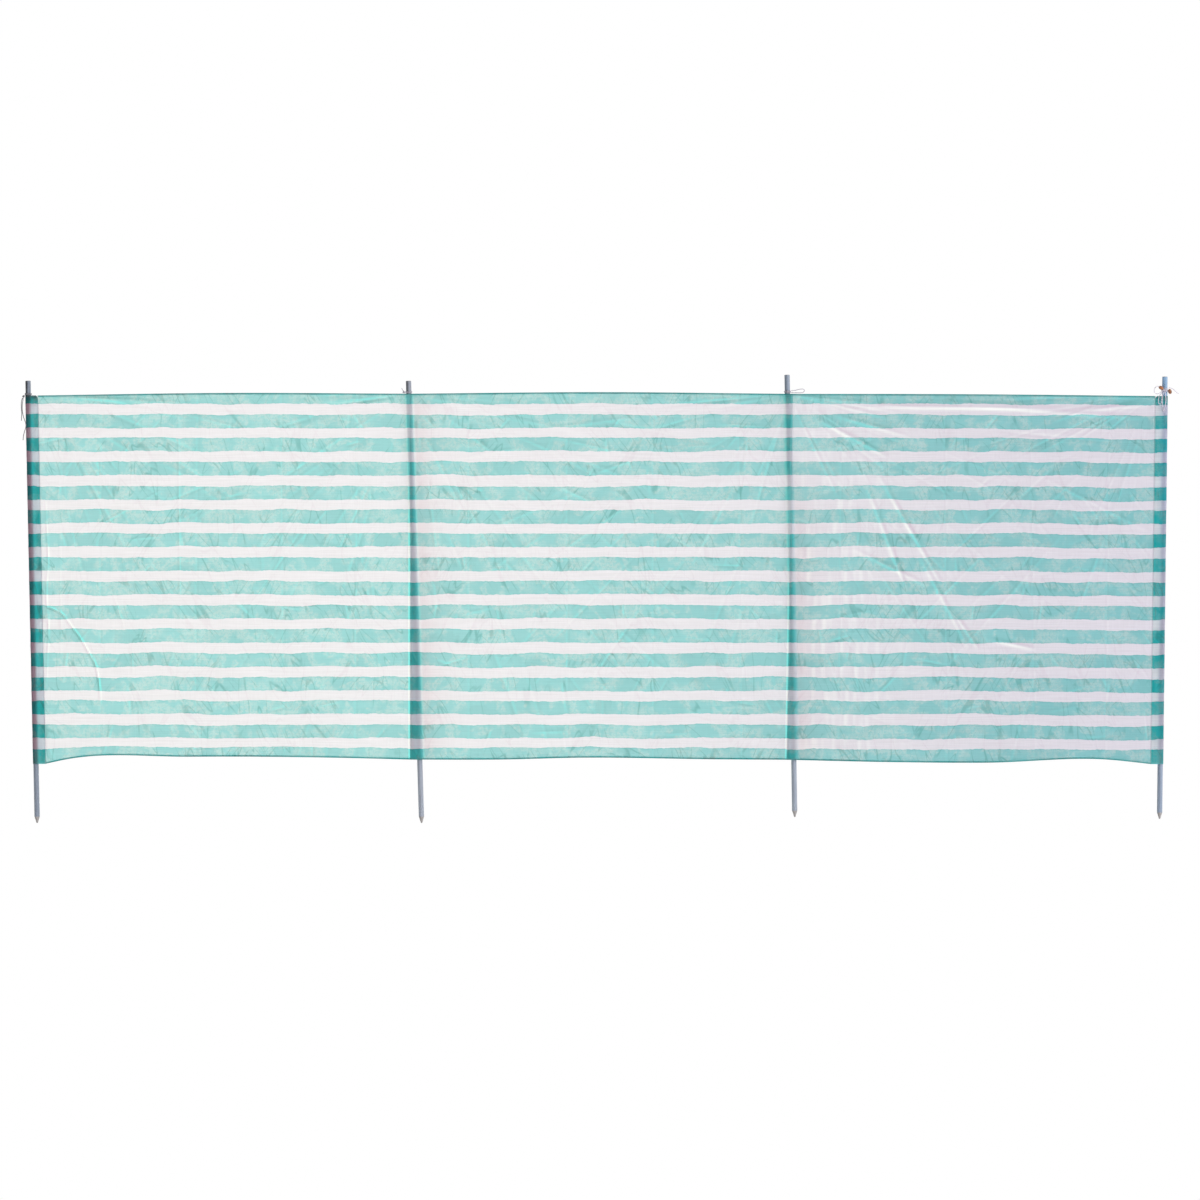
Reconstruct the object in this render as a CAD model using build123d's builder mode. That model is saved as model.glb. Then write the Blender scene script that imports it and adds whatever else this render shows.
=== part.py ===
from build123d import *

import os
from math import acos, atan2, cos, hypot, pi, radians, sin, tan

# Beach windbreak: four pointed poles in pockets sewn into one long striped cloth, in three bays.
# Millimetres, +Z up. The origin is on the blunt foot of the first pole, +X runs along the
# windbreak and the smooth face of the cloth looks towards -Y.

# Poles
pole_length = 1420.0
pole_diameter = 17.0
point_length = 21.0
point_flat = 4.0
top_chamfer = 1.0
foot_spacing = (1234.0, 1198.0, 1171.0)
foot_lift = (0.0, 0.0, 19.0, 13.0)
pole_lean = (-1.2, -1.7, -1.0, 0.7)

# Cloth: how far each pole stands out above it, and its height at the four stitch lines
cloth_thickness = 1.2
stand_out = (48.0, 42.0, 62.0, 63.0)
cloth_height = (1181.0, 1173.0, 1173.0, 1180.0)
top_rise = (5.0, 5.0, 2.0)
bottom_rise = ((14.0, 18.0, 9.0), (1.0, 7.0, 2.0), (-3.0, -1.0, 13.0))
bottom_rise_at = ((0.06, 0.40, 0.80), (0.25, 0.45, 0.80), (0.30, 0.55, 0.88))
belly_top = 4.0
belly_middle = 26.0
belly_bottom = 18.0
hem_width = 5.0

# Pole pockets: the end pockets wrap the pole, the inner ones are a loop sewn behind the cloth
pocket_gap = 0.3
lay_gap = 0.3
end_pocket_width = 31.0
seam_setback = (36.5, 12.0)
seam_lap = 4.0
pocket_steps = 12
pocket_corners = 6

# Ties
cord_diameter = 2.6
cord_sides = 5
ring_sides = 12
cord_gap = 0.3
lashing_turns = 2
lashing_pitch = 2.6
lashing_groove = 1.1
tie_rise = (5.0, 6.0, 7.0, 18.0)
knot_cut = 0.29
knot_gap = 0.8
side_knot = 9.0
side_knot_drop = 7.0
bow_knot = 12.0
end_knot = 10.0
stub_length = 10.0
stub_rise = 62.0
bead_length = 15.0
bead_diameter = 12.0
bead_belly = 6.0
bead_end_diameter = 7.0
bead_bore = 3.4
left_bead_rise = 30.0
right_bead_turn = -31.0
right_bead_drop = 3.0
right_bead_rake = 55.0

# Worked out from the sizes above
first_pole = 0
last_pole = len(pole_lean) - 1
foot_x = [sum(foot_spacing[:pole]) for pole in range(len(pole_lean))]
pole_radius = pole_diameter / 2
cord_radius = cord_diameter / 2
pocket_inner = pole_radius + pocket_gap
pocket_outer = pocket_inner + cloth_thickness
cloth_back = -(pocket_outer + lay_gap)
lashing_inner = pole_radius + cord_gap
lashing_outer = lashing_inner + cord_diameter
top_height = [
    lift + pole_length * cos(radians(lean)) - bare
    for lift, lean, bare in zip(foot_lift, pole_lean, stand_out)
]
bottom_height = [top - height for top, height in zip(top_height, cloth_height)]
tie_height = [top + rise for top, rise in zip(top_height, tie_rise)]
overrun = 20.0
depth_of_cut = 100.0

os.makedirs("parts", exist_ok=True)


def save(part, name):
    part.label = name
    export_step(part, f"parts/{name}.step")


def along(pole):
    """Direction of a pole's axis, from its foot to its top."""
    lean = radians(pole_lean[pole])
    return Vector(sin(lean), 0, cos(lean))


def foot(pole):
    return Vector(foot_x[pole], 0, foot_lift[pole])


def pole_x(pole, height):
    return foot_x[pole] + tan(radians(pole_lean[pole])) * (height - foot_lift[pole])


def seam_x(pole, height):
    """Place of a stitch line: beside an end pole, or upright in front of an inner one."""
    if pole == first_pole:
        return pole_x(pole, height) + end_pocket_width
    if pole == last_pole:
        return pole_x(pole, height) - end_pocket_width
    return foot_x[pole] - seam_setback[pole - 1]


def axial_plane(pole, origin):
    """Plane that holds the pole's axis, with its own y direction up the pole."""
    up = along(pole)
    return Plane(origin=origin, x_dir=(up.Z, 0, -up.X), z_dir=(0, -1, 0))


# Poles: round wooden stakes, cut square at the top and turned to a blunt point
def make_pole(pole):
    with BuildPart() as stake:
        with BuildSketch(axial_plane(pole, foot(pole))):
            with BuildLine():
                Polyline(
                    (0, 0),
                    (point_flat / 2, 0),
                    (pole_radius, point_length),
                    (pole_radius, pole_length - top_chamfer),
                    (pole_radius - top_chamfer, pole_length),
                    (0, pole_length),
                    close=True,
                )
            make_face()
        revolve(axis=Axis(foot(pole), along(pole)))
    return stake.part


# Pole pockets: a teardrop of cloth about the pole that runs to a point at the stitch line
def pocket_aim(pole, height):
    """Direction from the pole's axis to the stitch line."""
    return atan2(cloth_back, seam_x(pole, height) - pole_x(pole, height))


def pocket_outline(pole, height, loop_radius):
    """The teardrop at one height; every side of its loop is loop_radius off the pole's axis."""
    reach = hypot(seam_x(pole, height) - pole_x(pole, height), cloth_back)
    aim = pocket_aim(pole, height)
    half = acos(pocket_outer / reach)
    tip = reach * loop_radius / pocket_outer
    step = 2 * (pi - half) / pocket_corners
    corner = loop_radius / cos(step / 2)

    def at(angle, distance):
        return (pole_x(pole, height) + distance * cos(angle), distance * sin(angle))

    loop = [at(aim + half + step * (side + 0.5), corner) for side in range(pocket_corners)]
    with BuildSketch(Plane.XY.offset(height)) as outline:
        with BuildLine():
            Polyline(at(aim, tip), *loop, close=True)
        make_face()
    return outline.sketch


def lap_outline(pole, height):
    """The stitched lap at the point of the teardrop, flat against the back of the cloth."""
    with BuildSketch(Plane.XY.offset(height)) as lap:
        with Locations((seam_x(pole, height), cloth_back)):
            Rectangle(2 * seam_lap, cloth_thickness, align=(Align.CENTER, Align.MIN))
    return lap.sketch


def pocket_heights(pole):
    """Bottom and top of a pocket; between them, levels at equal turns of an inner one."""
    low = bottom_height[pole]
    high = top_height[pole]
    if pole in (first_pole, last_pole):
        return [low, high]
    first_aim = pocket_aim(pole, low)
    whole_turn = pocket_aim(pole, high) - first_aim
    levels = [low]
    for step in range(1, pocket_steps):
        aim = first_aim + whole_turn * step / pocket_steps
        axis_x = seam_x(pole, low) - cloth_back / tan(aim)
        shift = axis_x - foot_x[pole]
        levels.append(foot_lift[pole] + shift / tan(radians(pole_lean[pole])))
    return [*levels, high]


def make_pocket(pole):
    """The loop of an inner pocket turns about its pole as the pole leans past the stitch line."""
    heights = pocket_heights(pole)
    outside = [pocket_outline(pole, height, pocket_outer) for height in heights]
    inside = [pocket_outline(pole, height, pocket_inner) for height in heights]
    lap = [lap_outline(pole, height) for height in (heights[0], heights[-1])]
    with BuildPart() as pocket:
        loft(outside, ruled=True)
        loft(inside, ruled=True, mode=Mode.SUBTRACT)
        loft(lap, ruled=True)
    return pocket.part


# Cloth: each bay is a shallow belly between two stitch lines
def top_edge(bay):
    left = seam_x(bay, top_height[bay])
    right = seam_x(bay + 1, top_height[bay + 1])
    middle = (top_height[bay] + top_height[bay + 1]) / 2 + top_rise[bay]
    return [(left, top_height[bay]), ((left + right) / 2, middle), (right, top_height[bay + 1])]


def bottom_edge(bay):
    left = seam_x(bay, bottom_height[bay])
    right = seam_x(bay + 1, bottom_height[bay + 1])
    low = bottom_height[bay]
    fall = bottom_height[bay + 1] - low
    waves = [
        (left + (right - left) * share, low + fall * share + rise)
        for share, rise in zip(bottom_rise_at[bay], bottom_rise[bay])
    ]
    return [(left, low), *waves, (right, bottom_height[bay + 1])]


def cloth_sections(bay, front):
    """Level sections of one thickness of cloth; front is its front face's depth at the seams."""
    low = min(bottom_height) - overrun
    high = max(top_height) + overrun
    back = front + cloth_thickness
    sections = []
    for height, belly in ((low, belly_bottom), ((low + high) / 2, belly_middle), (high, belly_top)):
        left = seam_x(bay, height)
        right = seam_x(bay + 1, height)
        middle = (left + right) / 2
        with BuildSketch(Plane.XY.offset(height)) as section:
            with BuildLine():
                ThreePointArc((left, front), (middle, front - belly), (right, front))
                Line((right, front), (right, back))
                ThreePointArc((right, back), (middle, back - belly), (left, back))
                Line((left, back), (left, front))
            make_face()
        sections.append(section.sketch)
    return sections


def area_between(upper, lower):
    """Front outline between two edge curves, each run on past the seams."""
    with BuildSketch(Plane.XZ) as area:
        with BuildLine():
            Spline(*upper)
            Polyline(
                upper[-1],
                (upper[-1][0] + overrun, upper[-1][1]),
                (upper[-1][0] + overrun, lower[-1][1]),
                lower[-1],
            )
            Spline(*reversed(lower))
            Polyline(
                lower[0],
                (lower[0][0] - overrun, lower[0][1]),
                (lower[0][0] - overrun, upper[0][1]),
                upper[0],
            )
        make_face()
    return area.sketch


def shifted(edge, rise):
    return [(x, height + rise) for x, height in edge]


def make_panel(bay):
    sections = cloth_sections(bay, cloth_back - cloth_thickness)
    area = area_between(top_edge(bay), bottom_edge(bay))
    with BuildPart() as panel:
        loft(sections)
        extrude(area, amount=depth_of_cut, both=True, mode=Mode.INTERSECT)
    return panel.part


def pocket_ends(pole, height):
    """How far a pocket and its lap reach to each side behind the cloth."""
    seam = seam_x(pole, height)
    axis = pole_x(pole, height)
    return min(seam - seam_lap, axis - pocket_outer), max(seam + seam_lap, axis + pocket_outer)


def make_hem(bay, upper, lower, level):
    """A hem turned up behind a bay's edge, clear of the pocket at each end."""
    sections = cloth_sections(bay, cloth_back + lay_gap)
    area = area_between(upper, lower)
    start = pocket_ends(bay, level[bay])[1] + lay_gap
    end = pocket_ends(bay + 1, level[bay + 1])[0] - lay_gap
    with BuildPart() as hem:
        loft(sections)
        extrude(area, amount=depth_of_cut, both=True, mode=Mode.INTERSECT)
        with BuildSketch(Plane.XZ):
            with Locations(((start + end) / 2, (upper[0][1] + lower[0][1]) / 2)):
                Rectangle(end - start, 2 * depth_of_cut)
        extrude(amount=depth_of_cut, both=True, mode=Mode.INTERSECT)
    return hem.part


# Ties: two turns of cord round the pole, a knot beside or before it, loops and loose ends
def tie_centre(pole):
    return Vector(pole_x(pole, tie_height[pole]), 0, tie_height[pole])


def make_drum(base, radius, length, cut_in, cut_along):
    """A many-sided drum that stands on a plane, its two ends cut back all round."""
    with BuildPart() as drum:
        with BuildSketch(base):
            RegularPolygon(radius, ring_sides)
        extrude(amount=length)
        for end in (0, -1):
            cap = drum.faces().sort_by(Axis(base.origin, base.z_dir))[end]
            chamfer(cap.edges(), length=cut_in, length2=cut_along, reference=cap)
    return drum.part


def make_lashing(pole):
    """Turns of cord laid side by side, each of them a ridge round the outside."""
    width = lashing_turns * lashing_pitch
    base = Plane(origin=tie_centre(pole), z_dir=along(pole)).offset(-width / 2)
    with BuildPart() as lashing:
        for turn in range(lashing_turns):
            lower = base.offset(turn * lashing_pitch)
            add(make_drum(lower, lashing_outer, lashing_pitch, lashing_groove, lashing_groove))
        with BuildSketch(base):
            RegularPolygon(lashing_inner, ring_sides, major_radius=False)
        extrude(amount=width, mode=Mode.SUBTRACT)
    return lashing.part


def make_knot(centre, width):
    """A tight knot, as a block whose edges and corners are cut back to a ball."""
    with BuildPart() as knot:
        with Locations(centre):
            Box(width, width, width)
        chamfer(knot.edges(), length=knot_cut * width)
    return knot.part


def make_bead(centre, way):
    """A barrel bead about its bore, which the cord goes through."""
    base = Plane(origin=centre, z_dir=way).offset(-bead_length / 2)
    cut_in = (bead_diameter - bead_end_diameter) / 2
    cut_along = (bead_length - bead_belly) / 2
    with BuildPart() as bead:
        add(make_drum(base, bead_diameter / 2, bead_length, cut_in, cut_along))
        with BuildSketch(base):
            RegularPolygon(bead_bore / 2, ring_sides, major_radius=False)
        extrude(amount=bead_length, mode=Mode.SUBTRACT)
    return bead.part


def corner_radii(route):
    """Arc at each corner: 0.45 of the shorter run over the tangent of half the turn."""
    radii = []
    for before, corner, after in zip(route, route[1:], route[2:]):
        turn = (corner - before).get_angle(after - corner)
        shorter = min((corner - before).length, (after - corner).length)
        radii.append(0.45 * shorter / tan(radians(turn / 2)))
    return radii


def make_cord(name, start, offsets):
    """A tube along straight runs joined by tangent arcs; offsets are taken from start."""
    route = [start + Vector(*offset) for offset in offsets]
    radii = corner_radii(route)
    print(name, "arc radii:", [round(radius, 1) for radius in radii])
    with BuildPart() as tube:
        with BuildLine() as path:
            FilletPolyline(*route, radius=radii)
        with BuildSketch(Plane(origin=path.line @ 0, z_dir=path.line % 0)):
            RegularPolygon(cord_radius, cord_sides)
        sweep(path=path.line)
    return tube.part


for pole in range(len(pole_lean)):
    save(make_pole(pole), f"pole_{pole + 1}")
    save(make_pocket(pole), f"pocket_{pole + 1}")
    save(make_lashing(pole), f"lashing_{pole + 1}")

for bay in range(len(foot_spacing)):
    top = top_edge(bay)
    bottom = bottom_edge(bay)
    save(make_panel(bay), f"panel_{bay + 1}")
    save(make_hem(bay, top, shifted(top, -hem_width), top_height), f"top_hem_{bay + 1}")
    save(make_hem(bay, shifted(bottom, hem_width), bottom, bottom_height), f"bottom_hem_{bay + 1}")

# Knots: one beside each of the first two lashings, one before each of the others
beside = lashing_outer + lay_gap + side_knot / 2
knot_1 = tie_centre(0) + Vector(-(pocket_outer + knot_gap + side_knot / 2), 0, -side_knot_drop)
knot_2 = tie_centre(1) + Vector(-beside, 0, 0)
knot_3 = tie_centre(2) + Vector(0, -beside, 0)
knot_4 = tie_centre(3) + Vector(-2, -(lashing_outer + lay_gap + bow_knot / 2), 1)
tail_knot = Vector(knot_4.X - 3.7, cloth_back - end_knot / 2, knot_4.Z - 64.7)
save(make_knot(knot_1, side_knot), "knot_1")
save(make_knot(knot_3, side_knot), "knot_3")
save(make_knot(knot_4, bow_knot), "knot_4")
save(make_knot(tail_knot, end_knot), "tail_knot")

# The second tie's knot keeps a cut stub that stands up to the left
stub_way = Vector(-cos(radians(stub_rise)), 0, sin(radians(stub_rise)))
with BuildPart() as stub_knot:
    add(make_knot(knot_2, side_knot))
    with BuildSketch(Plane(origin=knot_2, z_dir=stub_way)):
        RegularPolygon(cord_radius, cord_sides)
    extrude(amount=side_knot / 2 + stub_length)
save(stub_knot.part, "knot_2")

# Beads: one threaded on the bow's loop beside its knot, one at the right of the lashing
left_bead_way = Vector(-cos(radians(left_bead_rise)), 0, sin(radians(left_bead_rise)))
left_bead = knot_4 + left_bead_way * (bow_knot / 2 + knot_gap + bead_length / 2)
right_bead_side = Vector(cos(radians(right_bead_turn)), sin(radians(right_bead_turn)), 0)
right_bead_level = Vector(-right_bead_side.Y, right_bead_side.X, 0)
right_bead_way = right_bead_level * cos(radians(right_bead_rake)) - Vector(
    0, 0, sin(radians(right_bead_rake))
)
right_bead = (
    tie_centre(3)
    + right_bead_side * (lashing_outer + lay_gap + bead_diameter / 2)
    - Vector(0, 0, right_bead_drop)
)
save(make_bead(left_bead, left_bead_way), "bead_left")
save(make_bead(right_bead, right_bead_way), "bead_right")

# Loose cords: each route is a list of points from the middle of the knot that it leaves
long_tail = (
    (-0.8, -0.6, -5.0),
    (-2.0, -1.5, -14.0),
    (-4.0, -2.5, -30.0),
    (-3.6, -4.0, -46.0),
    (0.6, -7.0, -66.0),
    (8.8, -10.0, -86.0),
    (9.6, -10.5, -98.0),
    (4.5, -10.0, -114.0),
    (0.8, -9.0, -128.0),
    (-0.2, -8.5, -141.0),
)
short_tail = (
    (-3.0, 0.8, -4.4),
    (-5.6, 1.4, -10.0),
    (-7.6, 2.0, -20.0),
    (-7.4, 2.4, -36.0),
    (-5.8, 2.0, -52.0),
    (-6.2, 1.5, -66.0),
    (-7.0, 1.2, -78.0),
)
side_loop = (
    (4.9, 0.0, 1.7),
    (14.0, 1.0, 3.0),
    (27.0, 3.0, 5.0),
    (40.0, 4.5, 8.6),
    (50.5, 5.0, 9.0),
    (55.0, 5.0, 4.4),
    (52.0, 5.0, -1.4),
    (43.0, 5.0, -3.4),
    (30.0, 4.0, -3.0),
    (16.0, 1.5, -3.4),
    (4.9, -0.2, -1.9),
)
bow_loop = (
    (-14.12, 0.0, 8.15),
    (-24.1, 0.0, 13.9),
    (-33.0, 0.3, 7.4),
    (-35.6, 0.5, -3.6),
    (-30.0, 0.6, -12.0),
    (-20.5, 0.0, -12.5),
    (-13.5, -1.2, -6.5),
    (-6.9, -1.4, -2.4),
)
hanging_loop = (
    (-2.5, 3.7, -6.0),
    (-6.0, 4.7, -13.0),
    (-10.0, 4.8, -25.0),
    (-10.4, 4.8, -36.0),
    (-11.4, 4.8, -41.0),
    (-14.2, 4.8, -44.6),
    (-18.0, 4.8, -44.2),
    (-20.6, 4.8, -40.4),
    (-20.8, 4.8, -32.0),
    (-17.6, 4.8, -19.0),
    (-11.0, 4.4, -9.0),
    (-5.6, 3.3, -3.7),
)
right_tail = (
    (5.95, 0.7, 3.5),
    (12.0, 2.7, 7.5),
    (19.0, 5.2, 8.0),
    (29.0, 7.2, 2.0),
    (38.0, 9.2, -5.5),
    (45.5, 10.2, -12.0),
)
front_tail_left = (
    (-3.5, 0.2, -6.1),
    (-6.4, 0.4, -13.0),
    (-8.8, 0.8, -25.0),
    (-9.0, 1.2, -39.0),
    (-7.4, 1.9, -51.0),
    (-5.8, 2.6, -59.4),
)
front_tail_right = (
    (0.3, 0.2, -7.0),
    (0.6, 0.4, -14.0),
    (2.8, 0.8, -25.0),
    (3.4, 1.2, -37.0),
    (1.0, 1.8, -49.0),
    (-1.6, 2.6, -59.4),
)
for name, knot, route in (
    ("tail_long", knot_1, long_tail),
    ("tail_short", knot_1, short_tail),
    ("side_loop", knot_3, side_loop),
    ("bow_loop", knot_4, bow_loop),
    ("hanging_loop", knot_4, hanging_loop),
    ("right_tail", knot_4, right_tail),
    ("front_tail_left", knot_4, front_tail_left),
    ("front_tail_right", knot_4, front_tail_right),
):
    save(make_cord(name, knot, route), name)
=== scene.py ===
import random
from math import acos, atan2, cos, exp, hypot, pi, radians, sin, sqrt, tan

import bpy
import numpy as np
from mathutils import Matrix, Vector, noise


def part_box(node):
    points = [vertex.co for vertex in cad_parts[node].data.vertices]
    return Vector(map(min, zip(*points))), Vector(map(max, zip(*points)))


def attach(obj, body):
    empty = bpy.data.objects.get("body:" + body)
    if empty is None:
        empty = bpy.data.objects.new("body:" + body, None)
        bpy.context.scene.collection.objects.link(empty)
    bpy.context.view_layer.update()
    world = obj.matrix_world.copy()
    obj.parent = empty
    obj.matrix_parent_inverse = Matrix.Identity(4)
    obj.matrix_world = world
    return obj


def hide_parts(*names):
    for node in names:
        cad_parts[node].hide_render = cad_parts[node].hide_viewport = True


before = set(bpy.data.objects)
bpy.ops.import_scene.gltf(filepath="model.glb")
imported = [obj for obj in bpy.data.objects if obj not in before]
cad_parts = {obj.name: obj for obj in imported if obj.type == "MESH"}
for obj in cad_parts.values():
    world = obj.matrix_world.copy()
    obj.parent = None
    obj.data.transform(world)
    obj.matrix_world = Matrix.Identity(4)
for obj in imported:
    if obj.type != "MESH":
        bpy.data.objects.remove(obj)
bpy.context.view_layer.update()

# Beach windbreak: looks for the striped cloth, its pole pockets and hems, the poles and the ties.
# Metres, +Z up, in the frame of the construction model.

bl_info = {
    "name": "Beach Windbreak",
    "version": (1, 0, 0),
    "blender": (4, 5, 0),
    "location": "3D View > Sidebar > Windbreak",
    "description": "Builds a striped cloth windbreak in three bays on four poles",
    "category": "Object",
}

# Places of the poles and seams
POLES = range(4)
BAYS = range(3)
POLE_LENGTH = 1.420
POLE_RADIUS = 0.0085
POINT_LENGTH = 0.021
FOOT_X = (0.0, 1.234, 2.432, 3.603)
FOOT_LIFT = (0.0, 0.0, 0.019, 0.013)
POLE_LEAN = (-1.2, -1.7, -1.0, 0.7)
STAND_OUT = (0.048, 0.042, 0.062, 0.063)
CLOTH_HEIGHT = (1.181, 1.173, 1.173, 1.180)
END_POCKET = 0.031
SEAM_SETBACK = (0.0365, 0.0100)
SEAM_SLANT = (0.0, 0.0168)
SEAM_LEVEL = 1.175
SEAM_DEPTH = -0.0109
# How far left of an inner stitch line its painted bright line lies
SEAM_FLASH = 0.0033
POCKET_RADIUS = 0.0094
POCKET_TUCK = 0.0020

TOP = [FOOT_LIFT[p] + POLE_LENGTH * cos(radians(POLE_LEAN[p])) - STAND_OUT[p] for p in POLES]
BOTTOM = [TOP[p] - CLOTH_HEIGHT[p] for p in POLES]
TOP_RISE = (0.005, 0.005, 0.002)
BOTTOM_RISE = ((0.014, 0.018, 0.009), (0.001, 0.007, 0.002), (-0.003, -0.001, 0.013))
BOTTOM_RISE_AT = ((0.06, 0.40, 0.80), (0.25, 0.45, 0.80), (0.30, 0.55, 0.88))


# Settings


def a_length(name, description, default):
    return bpy.props.FloatProperty(name=name, description=description, default=default, unit="LENGTH")


def a_colour(name, description, default):
    return bpy.props.FloatVectorProperty(
        name=name, description=description, default=default, subtype="COLOR", size=3
    )


class ClothSettings(bpy.types.PropertyGroup):
    mesh_step: a_length("Mesh Step", "Spacing of the cloth's mesh", 0.0040)
    belly_top: a_length("Belly at Top", "How far a bay bows out at its top", 0.004)
    belly_middle: a_length("Belly at Middle", "How far a bay bows out halfway up", 0.026)
    belly_bottom: a_length("Belly at Bottom", "How far a bay bows out at its bottom", 0.018)
    ripple: a_length("Ripple", "Height of the soft waves in the cloth", 0.0022)
    drag_fold: a_length("Drag Fold", "Height of the folds that run from the ties", 0.0012)
    packing_fold: a_length("Packing Fold", "Height of the creases left by packing", 0.0008)
    seed: bpy.props.IntProperty(name="Seed", description="Changes where the folds fall", default=7)
    hem_width: a_length("Hem Width", "Width of the turned edge", 0.005)
    stripe_pitch: a_length("Stripe Pitch", "Height of one coloured and one white stripe", 0.07655)
    stripe_band: a_length("Stripe Height", "Height of a coloured stripe", 0.0430)
    stripe_first: a_length("First Stripe", "Height of the middle of the top stripe", 1.3662)
    ink: a_colour("Ink", "Colour of the stripes in front light", (0.030, 0.390, 0.385))
    ink_through: a_colour("Ink Against Light", "Colour of light through a stripe", (0.52, 0.745, 0.82))
    ground: a_colour("Ground", "Colour of the cloth between the stripes", (0.62, 0.585, 0.69))
    ground_through: a_colour("Ground Against Light", "Colour of light through the plain cloth", (0.93, 0.875, 0.92))


class PoleSettings(bpy.types.PropertyGroup):
    paint: a_colour("Paint", "Colour of the poles", (0.235, 0.262, 0.318))
    # Colour that the last poles turn to towards their tops
    top_colour: a_colour("Top Colour", "Colour of the last pole, which has faded least", (0.276, 0.445, 0.67))
    bare: a_colour("Bare Wood", "Colour of the point and the sawn top", (0.47, 0.44, 0.44))


class TieSettings(bpy.types.PropertyGroup):
    cord_diameter: a_length("Cord Diameter", "Thickness of the tie cord", 0.0026)
    twist: a_length("Twist", "Length of one turn of the cord's strands", 0.0085)
    cord_colour: a_colour("Cord", "Colour of the tie cord", (0.46, 0.43, 0.49))
    bead_colour: a_colour("Beads", "Colour of the beads", (0.36, 0.12, 0.035))


class StageSettings(bpy.types.PropertyGroup):
    distance: a_length("Camera Distance", "From the camera to the poles", 12.0)
    frame_width: a_length("Frame Width", "Width of the picture at the poles", 3.8526)
    aim_x: a_length("Aim Along", "Place along the windbreak that the camera faces", 1.8066)
    aim_z: a_length("Aim Height", "Height that the camera faces", 0.7159)
    room_light: bpy.props.FloatProperty(
        name="Room Light", description="Strength of the even light from all round", default=1.46
    )
    back_light: bpy.props.FloatProperty(
        name="Back Light", description="Power of the light behind the first two bays", default=710.0, unit="POWER"
    )
    key_light: bpy.props.FloatProperty(
        name="Side Light",
        description="Power of the light that grazes the cloth from the right",
        default=60.0,
        unit="POWER",
    )


# Shapes that the pieces share


def pole_x(pole, height):
    return FOOT_X[pole] + tan(radians(POLE_LEAN[pole])) * (height - FOOT_LIFT[pole])


def seam_x(pole, height):
    """Place of a stitch line: beside an end pole, nearly upright in front of an inner one."""
    if pole == POLES[0]:
        return pole_x(pole, height) + END_POCKET
    if pole == POLES[-1]:
        return pole_x(pole, height) - END_POCKET
    return FOOT_X[pole] - SEAM_SETBACK[pole - 1] + SEAM_SLANT[pole - 1] * (height - SEAM_LEVEL)


def beside_inner_pole(pole, x, z):
    """Painted light and shade round an inner pole: where its pocket lies behind the screen (a painted deeper tint in
    the light through it, with painted light over it), the painted shade beside it, and the painted bright line of the
    seam.
    """
    line, axis = seam_x(pole, z) - SEAM_FLASH, pole_x(pole, z)
    reach, soft, slit, line_width = POCKET_RADIUS + 0.003, 0.012, 0.0014, 0.0019
    shade_from, shade_to, deepest_shade = 0.008, 0.040, 0.32
    # Where the pocket lies behind the screen, which the bay marks with a painted deeper tint and painted light
    left = np.clip((x - axis + reach) / soft + 0.5, 0, 1) * (x < line - slit)
    right = np.clip((axis + reach - x) / soft + 0.5, 0, 1) * (x > line + slit)
    share = np.clip(0.9 + (axis - line) / 0.008, 0, 1)
    behind = ((1 - share) * left + share * right) * np.clip(1 - 12 * abs(x - line), 0.7, 1)
    beyond = np.clip(abs(x - axis) - reach, 0, None)
    # Painted shade beside the pocket, fading out away from the pole
    shade = share * (x > line + slit) * deepest_shade
    shade = shade * (1 - np.exp(-beyond / shade_from)) * np.exp(-beyond / shade_to)
    # Painted bright line along the seam, spread as painted light over the pole where the pole lies left of the line
    light_over_pole = 0.8 * share * (x < line) * np.clip(1.3 - abs(x - axis) / 0.011, 0, 1)
    return behind, shade, np.maximum(np.exp(-(((x - line) / line_width) ** 2)), light_over_pole)


def smooth_line(points, x):
    """Height at each x of a smooth line through a few points."""
    xs, zs = np.array(points).T
    slopes = np.gradient(zs, xs)
    piece = np.clip(np.searchsorted(xs, x) - 1, 0, len(xs) - 2)
    span = xs[piece + 1] - xs[piece]
    t = (x - xs[piece]) / span
    start = (1 + 2 * t) * (1 - t) ** 2 * zs[piece] + t * (1 - t) ** 2 * span * slopes[piece]
    end = t * t * (3 - 2 * t) * zs[piece + 1] + t * t * (t - 1) * span * slopes[piece + 1]
    return start + end


def edge_points(bay, top):
    """Points along the top or bottom edge of a bay, seam to seam."""
    levels = TOP if top else BOTTOM
    left = seam_x(bay, levels[bay])
    right = seam_x(bay + 1, levels[bay + 1])
    fall = levels[bay + 1] - levels[bay]
    rises = (TOP_RISE[bay],) if top else BOTTOM_RISE[bay]
    shares = (0.5,) if top else BOTTOM_RISE_AT[bay]
    inner = [(left + (right - left) * s, levels[bay] + fall * s + r) for s, r in zip(shares, rises)]
    return [(left, levels[bay]), *inner, (right, levels[bay + 1])]


def belly(settings, height):
    """Depth of a bay's bow at each height."""
    low, high = min(BOTTOM), max(TOP)
    t = (height - low) / (high - low)
    bottom, middle, top = settings.belly_bottom, settings.belly_middle, settings.belly_top
    return bottom * (1 - t) * (1 - 2 * t) + 4 * middle * t * (1 - t) + top * t * (2 * t - 1)


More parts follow.
